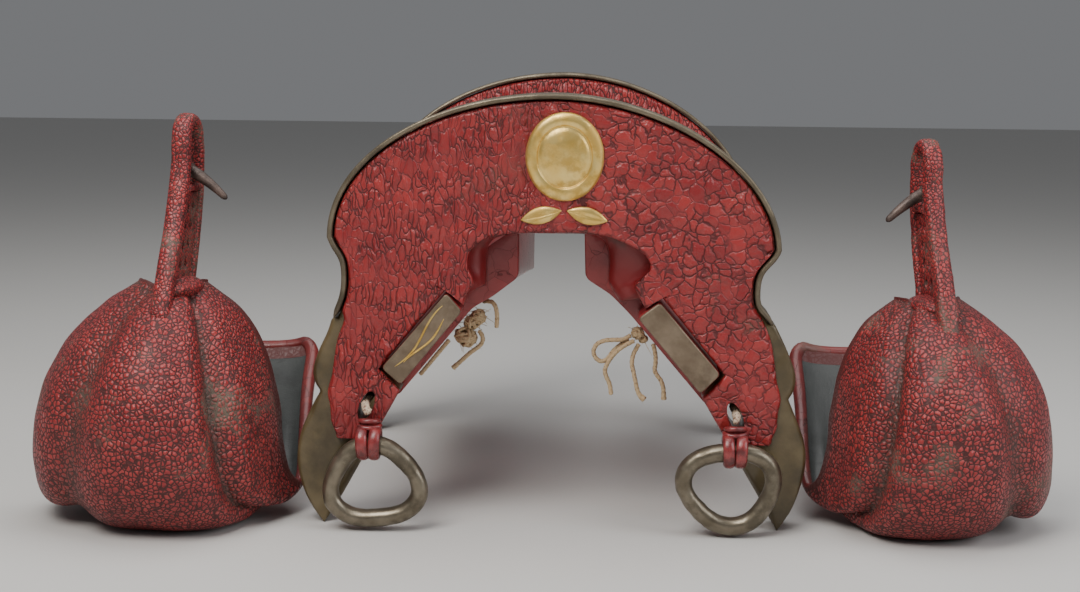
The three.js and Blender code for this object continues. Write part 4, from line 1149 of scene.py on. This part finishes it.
# %% Leather bands
def loop_band(centre, size, section, plane, twist=0.0, wobble=0.25):
    """A rounded band bent into a closed oval; plane gives its two axes and its width axis."""
    a, b = once_round(56)[:, None, None], once_round(16)[:, None]
    e1, e2, e3 = np.array(plane, float)
    radial = np.cos(a) * e1 + np.sin(a) * e2
    middle = np.array(centre) + size[0] * np.cos(a) * e1 + size[1] * np.sin(a) * e2
    middle = middle + twist * np.sin(a) * e3
    fat = 1 + wobble * 0.3 * np.sin(3 * a + 1)
    return wrapped(middle + section[0] * fat * np.cos(b) * radial + section[1] * np.sin(b) * e3)


for side, at in HITCHES.items():
    ring = RINGS[side]
    x, y = at["x"], RING["y"]
    z = ring["z"] + RING["rise"] * ring_reach(math.pi / 2, ring["corner"])
    bands = [loop_band((x + k * 4.1, y, z + 1.2), (9.0, 9.6), (2.1, 3.9),
                       [(0, 1, 0), (0, 0, 1), (1, 0, 0)], k * 0.5) for k in (-1, 1)]
    wraps = [loop_band((x, y + 1.5, z + 12.5 + 3.0 * k), (6.8 - k, 4.6), (1.9, 1.7),
                       [(1, 0, 0), (0, 1, 0), (0, 0, 1)], 0.8 - 1.6 * k, 0.4) for k in (0, 1)]
    surface(f"hitch_{side}_bands", [*bands, *wraps], dark_leather, replaces=(f"hitch_binding_{side}",))

# %% [markdown]
# ## Stirrups
# A stirrup is a deep hood that opens towards the saddle and the rider. Its shell is carried
# along stations, from the tail of the foot bed, under the belly, up the breast to the crown.
# At each station t the section runs from the outer edge (s = -1) over the keel (s = 0) to the
# edge that faces the saddle (s = 1), as a superellipse. Two long grooves run along it.

# %% Form of the shell
STATIONS = np.array([
    # keel u, z; rim u, z; half width; squareness; drift of the edge; drift of the keel; groove
    (-136, 92, -137, 100, 0.52, 3.0, 32, 0, 0),
    (-95, 60, -96, 70, 0.59, 3.0, 31, 0, 0),
    (-50, 28, -52, 40, 0.74, 2.8, 27, 4, 0.15),
    (-8, 7, -18, 22, 0.92, 2.8, 18, 9, 0.7),
    (30, 0.4, -6, 30, 0.99, 2.8, 6, 12, 1),
    (66, 6, -6, 50, 1.0, 2.7, 0, 12, 1),
    (92, 34, -8, 76, 0.98, 2.5, -1, 12, 1),
    (98, 78, -9, 102, 0.9, 2.3, 0, 11, 1),
    (86, 116, -9, 126, 0.73, 2.15, 5, 10, 0.9),
    (62, 146, -6, 146, 0.46, 2.1, 14, 9, 0.7),
    (38, 164, 2, 162, 0.16, 2.0, 21, 8, 0.35),
], float)
STIRRUPS = {
    "left": dict(side=1, x=-270.0, y=20.0, yaw=6.0, half=85.0, crown=164.0, loop_top=276.0,
                 neck_set=21.5),
    "right": dict(side=-1, x=262.0, y=34.0, yaw=-8.0, half=76.0, crown=157.0, loop_top=264.0,
                  neck_set=13.5),
}
WALL, LIP, GROOVE, EDGE_S = 4.5, 3.0, 9.0, 0.995
OUTER_GROOVE, INNER_GROOVE = -0.33, 0.52  # places of the two grooves across the section
CROWN, CROWN_FOOT = 164.0, 100.0
TAIL_CORNER, TAIL_RUN = 15.0, 520.0  # radius of the tail's corners; length of the run for t from 0 to 1


def near(value, middle, width):
    """A bell that is 1 at the middle and falls away over the width."""
    return np.exp(-(((value - middle) / width) ** 2))


def along_stations(t):
    """Catmull-Rom through the stations; t runs from 0 at the tail to 1 at the crown."""
    last = len(STATIONS) - 1
    rows = with_neighbours(STATIONS)
    x = np.clip(t, 0, 1) * last
    i = np.minimum(x.astype(int), last - 1)
    value = catmull_rom(rows[i], rows[i + 1], rows[i + 2], rows[i + 3], (x - i)[..., None])
    return np.moveaxis(value, -1, 0)


def plain_form(spec, t, s):
    """The shell's outer form without its grooves, in the stirrup's own frame."""
    keel_u, keel_z, rim_u, rim_z, half, square, drift, keel_drift, _ = along_stations(t)
    from_tail = np.minimum(t * TAIL_RUN + 1.5, TAIL_CORNER)
    cut = TAIL_CORNER - np.sqrt(TAIL_CORNER**2 - (TAIL_CORNER - from_tail) ** 2)
    angle, power = s * math.pi / 2, 2 / square
    inward = 1 - np.cos(angle) ** power
    sideways = np.sign(s) * np.abs(np.sin(angle)) ** power
    x = (half * spec["half"] - cut) * sideways + drift * (0.5 + 0.5 * s) + keel_drift * (1 - sideways**2)
    z = keel_z + (rim_z - keel_z) * inward
    share = (spec["crown"] - CROWN_FOOT) / (CROWN - CROWN_FOOT)
    z = np.where(z < CROWN_FOOT, z, CROWN_FOOT + (z - CROWN_FOOT) * share)
    return stacked(spec["side"] * x, -(keel_u + (rim_u - keel_u) * inward), z)


def skin(spec, t, s, depth):
    """A place on the shell, the given depth below its grooved outer face."""
    d, edge = 0.004, 0.999
    along = plain_form(spec, np.minimum(t + d, 1), s) - plain_form(spec, np.maximum(t - d, 0), s)
    across = plain_form(spec, t, np.minimum(s + d, edge)) - plain_form(spec, t, np.maximum(s - d, -edge))
    outward = unit(np.cross(across, along) * spec["side"])
    furrow = near(s, OUTER_GROOVE, 0.13) + near(s, INNER_GROOVE, 0.09) + 0.16 * near(s, INNER_GROOVE, 0.022)
    groove = GROOVE * along_stations(t)[8] * furrow
    return plain_form(spec, t, s) - outward * (groove + depth)[..., None]


def wall_at(t, s):
    """Wall thickness: thicker in a rolled lip along the open edge."""
    return WALL + LIP * near(np.minimum(1 - np.abs(s), t * 3.2), 0, 0.07)


def spun(points, angle, x, y):
    """Turns points about the upright and moves them along the ground."""
    c, n = math.cos(angle), math.sin(angle)
    return stacked(points[..., 0] * c - points[..., 1] * n + x,
                   points[..., 0] * n + points[..., 1] * c + y, points[..., 2])


def stood(spec, points):
    """Turns a stirrup about the upright and puts it on its place on the ground."""
    return spun(points, -math.radians(spec["yaw"]), spec["x"], spec["y"])


def closed_sheet(spec, t, s, outer_depth, inner_depth):
    """A sheet between two depths whose four edges are rolled as half circles."""
    tt, ss = np.meshgrid(t, s, indexing="ij")
    outer, inner = skin(spec, tt, ss, outer_depth(tt, ss)), skin(spec, tt, ss, inner_depth(tt, ss))
    middle, reach = (outer + inner) / 2, (outer - inner) / 2
    size = np.linalg.norm(reach, axis=-1, keepdims=True)
    roll = np.linspace(0, math.pi, 9)[1:-1][:, None, None]
    fold = np.linspace(math.pi / 2, 0, 6)[:-1][:, None, None]

    def lip(column, next_column):
        way = unit(middle[:, column] - middle[:, next_column]) * size[:, column]
        rows = middle[:, column] + reach[:, column] * np.cos(roll) + way * np.sin(roll)
        return np.swapaxes(rows, 0, 1)

    def end(row, next_row):
        way = unit((core[row] - core[next_row]).mean(axis=0)) * size[row].max()
        return core[row] + (loop[row] - core[row]) * np.cos(fold) + way * np.sin(fold)

    loop = np.concatenate([outer, lip(-1, -2), inner[:, ::-1], lip(0, 1)[:, ::-1]], axis=1)
    core = np.concatenate([middle, np.repeat(middle[:, -1:], len(roll), axis=1), middle[:, ::-1],
                           np.repeat(middle[:, :1], len(roll), axis=1)], axis=1)
    return np.concatenate([end(0, 1), loop, end(-1, -2)[::-1]], axis=0)


def eased(reach, count):
    """Values from minus reach to reach that gather at both ends."""
    return -reach + 2 * reach * (0.5 - 0.5 * np.cos(np.linspace(0, math.pi, count)))


# %% [markdown]
# The hood and the foot bed are one shell with rolled edges. Each of its points carries two
# shares for the leather's finish: how deep it lies in a groove, and whether it is lining.

# %% Hoods and foot beds
ACROSS, ROLLED_ENDS = 150, 5  # points across the hood; rows that close each end
BED_GAP, BED_THICKNESS = 0.3, 2.0


def hood_marks(shape, t, s):
    """Shares of groove and of lining: the whole inside is lining, and a strip by the edge."""
    marks = np.zeros((*shape, 2))
    marks[..., 1] = 1
    tt, ss = np.meshgrid(t, s, indexing="ij")
    # The groove share darkens the leather with dust and painted shade, in both grooves and round the
    # crown's top.
    deep = near(ss, OUTER_GROOVE, 0.075) * 0.6 + near(ss, INNER_GROOVE, 0.04)
    outside = marks[ROLLED_ENDS:-ROLLED_ENDS, :ACROSS]
    outside[..., 0] = np.clip(deep * along_stations(tt)[8] + near(1, tt, 0.035) * 0.5, 0, 1)
    outside[..., 1] = np.clip((0.05 - np.minimum(1 - np.abs(ss), tt * 1.6)) / 0.02, 0, 1)
    return marks


for name, spec in STIRRUPS.items():
    t = np.concatenate([np.linspace(0, 0.03, 12)[:-1], np.linspace(0.03, 1, 126)])
    s = eased(EDGE_S, ACROSS)
    hood = closed_sheet(spec, t, s, lambda t, s: 0 * t, wall_at)
    marks = hood_marks(hood.shape[:2], t, s)
    hood += 0.35 * waves(hood, 30, 41)[..., None] * unit(hood - [0, 20, 80])
    surface(f"stirrup_shell_{name}", stood(spec, hood), hood_leather, marks,
            body=f"stirrup_{name}", replaces=(f"stirrup_hood_{name}",))
    bed = closed_sheet(spec, np.linspace(0.03, 0.36, 50), eased(0.86, 60),
                       lambda t, s: wall_at(t, s) + BED_GAP,
                       lambda t, s: wall_at(t, s) + BED_GAP + BED_THICKNESS)
    surface(f"stirrup_bed_panel_{name}", stood(spec, bed), slate,
            body=f"stirrup_{name}", replaces=(f"stirrup_bed_{name}",))

# %% [markdown]
# A rolled lip of smooth leather runs round the whole open edge: down one side from the crown,
# round the tail of the foot bed, and up the other side.

# %% Rolled lips
LIP_RADII = ([0, 0.02, 0.2, 0.38, 0.5], [0.8, 2.6, 3.4, 4.9, 4.9])  # share of the way; radius
for name, spec in STIRRUPS.items():
    side_run, tail_run = np.linspace(0.97, 0, 150), np.linspace(EDGE_S, -EDGE_S, 60)[1:-1]
    t = np.concatenate([side_run, 0 * tail_run, side_run[::-1]])
    s = np.concatenate([EDGE_S + 0 * side_run, tail_run, -EDGE_S + 0 * side_run])
    edge = skin(spec, t, s, wall_at(t, s) / 2)
    for _ in range(8):
        edge[1:-1] = (edge[:-2] + 2 * edge[1:-1] + edge[2:]) / 4
    edge = resampled(edge, 300)
    from_end = np.minimum(np.arange(300), np.arange(300)[::-1]) / 299
    lip = tube(edge, np.interp(from_end, *LIP_RADII), 16)
    surface(f"stirrup_lip_{name}", stood(spec, lip), lip_leather, body=f"stirrup_{name}")

# %% [markdown]
# The neck is one thick bar that rises from a rounded stub on the breast, turns over as the
# loop for the stirrup leather, and comes down again behind. A pierced plate fills the space
# between, below a crossbar. A short iron prong swings from a pin through the loop.

# %% Necks and prongs
BAR = np.array([
    # side view u and z of the bar's middle line, and half its thickness
    (56.5, 146, 5.6), (50, 160, 5.8), (40.5, 181, 5.8), (31, 200, 5.6), (21.5, 225, 5.3),
    (16.0, 243, 4.9), (15.2, 256, 4.7), (12.0, 266.5, 4.7), (3.8, 271.3, 4.6), (-4.8, 266.5, 4.4),
    (-8.4, 256, 4.2), (-9.8, 240, 3.8), (-8.6, 222, 3.7), (-4.8, 205, 3.6), (2.5, 181, 3.6),
    (10.5, 157, 3.6),
])
STUB = [(58.8, 141.2, 0.6), (58.5, 141.8, 2.6), (58.0, 142.9, 4.2), (57.3, 144.3, 5.2)]
FOOT, CROSSBAR = [(11.5, 154, 3.6)], [(14.0, 225.5, 3.2), (4.0, 226.5, 2.9), (-7.5, 225.5, 3.0)]
LATTICE = [(12.5, 223), (-7, 223), (-4.2, 211), (3.5, 185), (12.5, 158), (50, 157), (37, 181),
           (22, 211)]
DIAMOND = np.array([(3, 0), (0, 5), (-3, 0), (0, -5)], float)
HOLE_START, HOLE_STEP, HOLE_SPREAD, HOLE_LEAN = (22.7, 176), 12.5, 9, 0.405
NECK_BASE, NECK_TOP, NECK_HALF, NECK_TWIST, NECK_PIVOT = 160.0, 276.0, 6.5, -3.0, 30
CROSSBAR_HALF, LATTICE_WIDTH, LATTICE_BEVEL, FULL_BAR = 5.2, 6.0, 0.8, 4.2
PIN_PLACE, PIN_REACH, PIN_RADIUS = [0, 3.75, 238.5], 12, 2.0
PRONG_LENGTH, PRONG_DROOP, PRONG_BOW = 33, math.radians(36), 1.6
PRONG_RADII = ([0, 0.25, 0.8, 0.94, 0.98, 1], [4.0, 4.1, 2.7, 2.3, 1.8, 1.1])
EYE_RADIUS, EYE_WALL, EYE_WIDTH = 3.55, 2.1, 7.0


def neck_scale(spec):
    """The neck's foot, and how much taller this neck is than the one in the table."""
    base = NECK_BASE + spec["crown"] - CROWN
    return base, (spec["loop_top"] - base) / (NECK_TOP - NECK_BASE)


def on_neck(spec, points):
    """Points as (sideways, u, z) of the neck's side view; turned a little, and stood up."""
    x, u, z = np.moveaxis(np.asarray(points, float), -1, 0)
    base, taller = neck_scale(spec)
    z = base + (z - NECK_BASE) * np.where(z < NECK_BASE, 1, taller)
    angle = math.radians(spec["side"] * NECK_TWIST)
    turned = spun(stacked(x, NECK_PIVOT - u, z), angle, spec["side"] * spec["neck_set"], -NECK_PIVOT)
    return stood(spec, turned)


def plate_with_holes(outline, holes):
    """A flat outline with holes, made thick: Blender fills the curve, and its mesh is read back."""
    curve = bpy.data.curves.new("outline", "CURVE")
    curve.dimensions, curve.fill_mode = "2D", "BOTH"
    curve.extrude, curve.bevel_depth = LATTICE_WIDTH / 2 - LATTICE_BEVEL, LATTICE_BEVEL
    curve.offset = -LATTICE_BEVEL
    for loop in [outline, *holes]:
        spline = curve.splines.new("POLY")
        spline.points.add(len(loop) - 1)
        spline.points.foreach_set("co", np.c_[loop, np.zeros(len(loop)), np.ones(len(loop))].ravel())
        spline.use_cyclic_u = True
    maker = linked("outline", curve)
    mesh = final_mesh(maker)
    bpy.data.objects.remove(maker)
    bpy.data.curves.remove(curve)
    return mesh


def lattice_piece(name, spec, body):
    """The pierced plate: its flat mesh is stood up in the neck, sideways being its thickness."""
    offsets = [(k * HOLE_SPREAD - HOLE_LEAN * HOLE_STEP * row, HOLE_STEP * row)
               for row in range(4) for k in (-0.5, 0.5)]
    mesh = plate_with_holes(LATTICE, [DIAMOND + HOLE_START + offset for offset in offsets])
    points = np.empty(len(mesh.vertices) * 3)
    mesh.vertices.foreach_get("co", points)
    upright = on_neck(spec, points.reshape(-1, 3)[:, [2, 0, 1]])
    mesh.vertices.foreach_set("co", placed(upright).ravel())
    made_solid(mesh, FINE_WELD)
    made_piece(name, mesh, neck_leather, body)


def bar_round(rows, half_width, square=2.9):
    """A superellipse section along a line in the side view; rows are (u, z, half thickness)."""
    line, half = rows[:, :2], rows[:, 2:]
    ahead = unit(np.gradient(line, axis=0))
    normal = stacked(ahead[:, 1], -ahead[:, 0])
    a = once_round(28)
    wide, thick = [np.sign(v) * np.abs(v) ** (2 / square) for v in (np.cos(a), np.sin(a))]
    flat = line[:, None] + normal[:, None] * (half * thick)[..., None]
    return stacked(half_width[:, None] * wide, flat[..., 0], flat[..., 1])


def collar(spec):
    """A low mound of lacquer where the neck meets the crown."""
    a, b = np.linspace(-math.pi / 2, math.pi / 2, 24)[:, None], once_round(48)
    mound = stacked(15 * np.cos(a) * np.cos(b), 24 + 25 * np.cos(a) * np.sin(b), 161 + 7.5 * np.sin(a))
    return on_neck(spec, mound + 0.4 * waves(mound, 16, 57)[..., None])


def prong(spec):
    """A tapered finger that points to the saddle and down, and its eye round the pin."""
    steps = np.linspace(0, 1, 40)
    out = PRONG_LENGTH * steps
    path = stacked(out * spec["side"] * math.cos(PRONG_DROOP), 0,
                   PRONG_BOW * np.sin(math.pi * steps) - out * math.sin(PRONG_DROOP))
    wall, width = rounded_box(EYE_WALL, EYE_WIDTH, 0.7).T
    a = once_round(40)[:, None]
    eye = stacked((EYE_RADIUS + wall) * np.cos(a), width, (EYE_RADIUS + wall) * np.sin(a))
    return [tube(path, np.interp(steps, *PRONG_RADII), 16), wrapped(eye)]


def at_pin(spec, points):
    """Points round the pin; sideways, along the pin and upwards."""
    return on_neck(spec, points * [1, 1, 1 / neck_scale(spec)[1]] + PIN_PLACE)


for name, spec in STIRRUPS.items():
    body = f"stirrup_{name}"
    rows = np.concatenate([STUB, smooth_line(BAR, 8), FOOT])
    neck = bar_round(rows, NECK_HALF * np.clip(rows[:, 2] / FULL_BAR, 0.2, 1))
    neck += 0.18 * waves(neck, 14, 51)[..., None]
    surface(f"stirrup_bar_{name}", on_neck(spec, neck), neck_leather, body=body,
            replaces=(f"stirrup_neck_{name}",))
    lattice_piece(f"stirrup_lattice_{name}", spec, body)
    surface(f"stirrup_collar_{name}", collar(spec), neck_leather, body=body)
    crossbar = bar_round(np.array(CROSSBAR), np.full(3, CROSSBAR_HALF))
    surface(f"stirrup_crossbar_{name}", on_neck(spec, crossbar), neck_leather, body=body)
    pin = tube(stacked(0, np.linspace(-PIN_REACH, PIN_REACH, 12), 0), PIN_RADIUS, 16)
    surface(f"stirrup_pin_{name}", at_pin(spec, pin), iron, body=body)
    surface(f"prong_finger_{name}", [at_pin(spec, grid) for grid in prong(spec)], iron,
            body=f"prong_{name}", replaces=(f"stirrup_prong_{name}",))

# %% [markdown]
# ## Room
# A plain pale floor and soft light from above, with one cooler light that grazes the leather.

# %% Floor and lights
FLOOR_REACH, FLOOR_COLOUR = 6000.0, (0.56, 0.55, 0.53, 1)
WORLD_COLOUR, WORLD_STRENGTH = (0.5, 0.51, 0.53, 1), 0.36
LIGHTS = {  # place and aim in drawing millimetres, size in metres, watts, colour
    "key_light": ((-500, -900, 1300), (0, 0, 120), 0.8, 22, (1.0, 0.97, 0.93)),
    "top_light": ((60, 160, 1500), (0, 100, 100), 1.4, 15, (1.0, 1.0, 1.0)),
    "side_light": ((1100, -500, 700), (60, 0, 140), 0.8, 8, (0.95, 0.97, 1.0)),
}
floor_material, floor_tree, floor_shader, _ = finish_material("floor", roughness=0.85)
set_inputs(floor_tree, floor_shader, {"Base Color": FLOOR_COLOUR})
u = np.linspace(-FLOOR_REACH, FLOOR_REACH, 3)
mesh = bpy.data.meshes.new("floor")
corners = placed(stacked(u[:, None], u, GROUND)).reshape(-1, 3)
mesh.from_pydata(corners, [], grid_faces(3, 3, closed=False))
mesh.materials.append(floor_material)
floor = linked("floor", mesh)
for name, (place, aim, size, watts, colour) in LIGHTS.items():
    data = bpy.data.lights.new(name, "AREA")
    data.size, data.energy, data.color = size, watts, colour
    lamp = linked(name, data)
    away = unit(placed(place) - placed(aim))
    side = unit(np.cross([0.0, 0.0, 1.0], away))
    lamp.matrix_world = standing([side, np.cross(away, side), away], place)
world = bpy.data.worlds.new("studio")
world.use_nodes = True
background = world.node_tree.nodes["Background"].inputs
set_inputs(world.node_tree, background, {"Color": WORLD_COLOUR, "Strength": WORLD_STRENGTH})
bpy.context.scene.world = world

# %% [markdown]
# The corners of every shown piece's box are gathered, for the size of the finished set.

# %% Size of the finished set
bpy.context.view_layer.update()
pieces = [o for o in bpy.context.scene.objects if o.type == "MESH" and o is not floor and o.visible_get()]
corners = np.concatenate([np.array([o.matrix_world @ Vector(c) for c in o.bound_box]) for o in pieces])
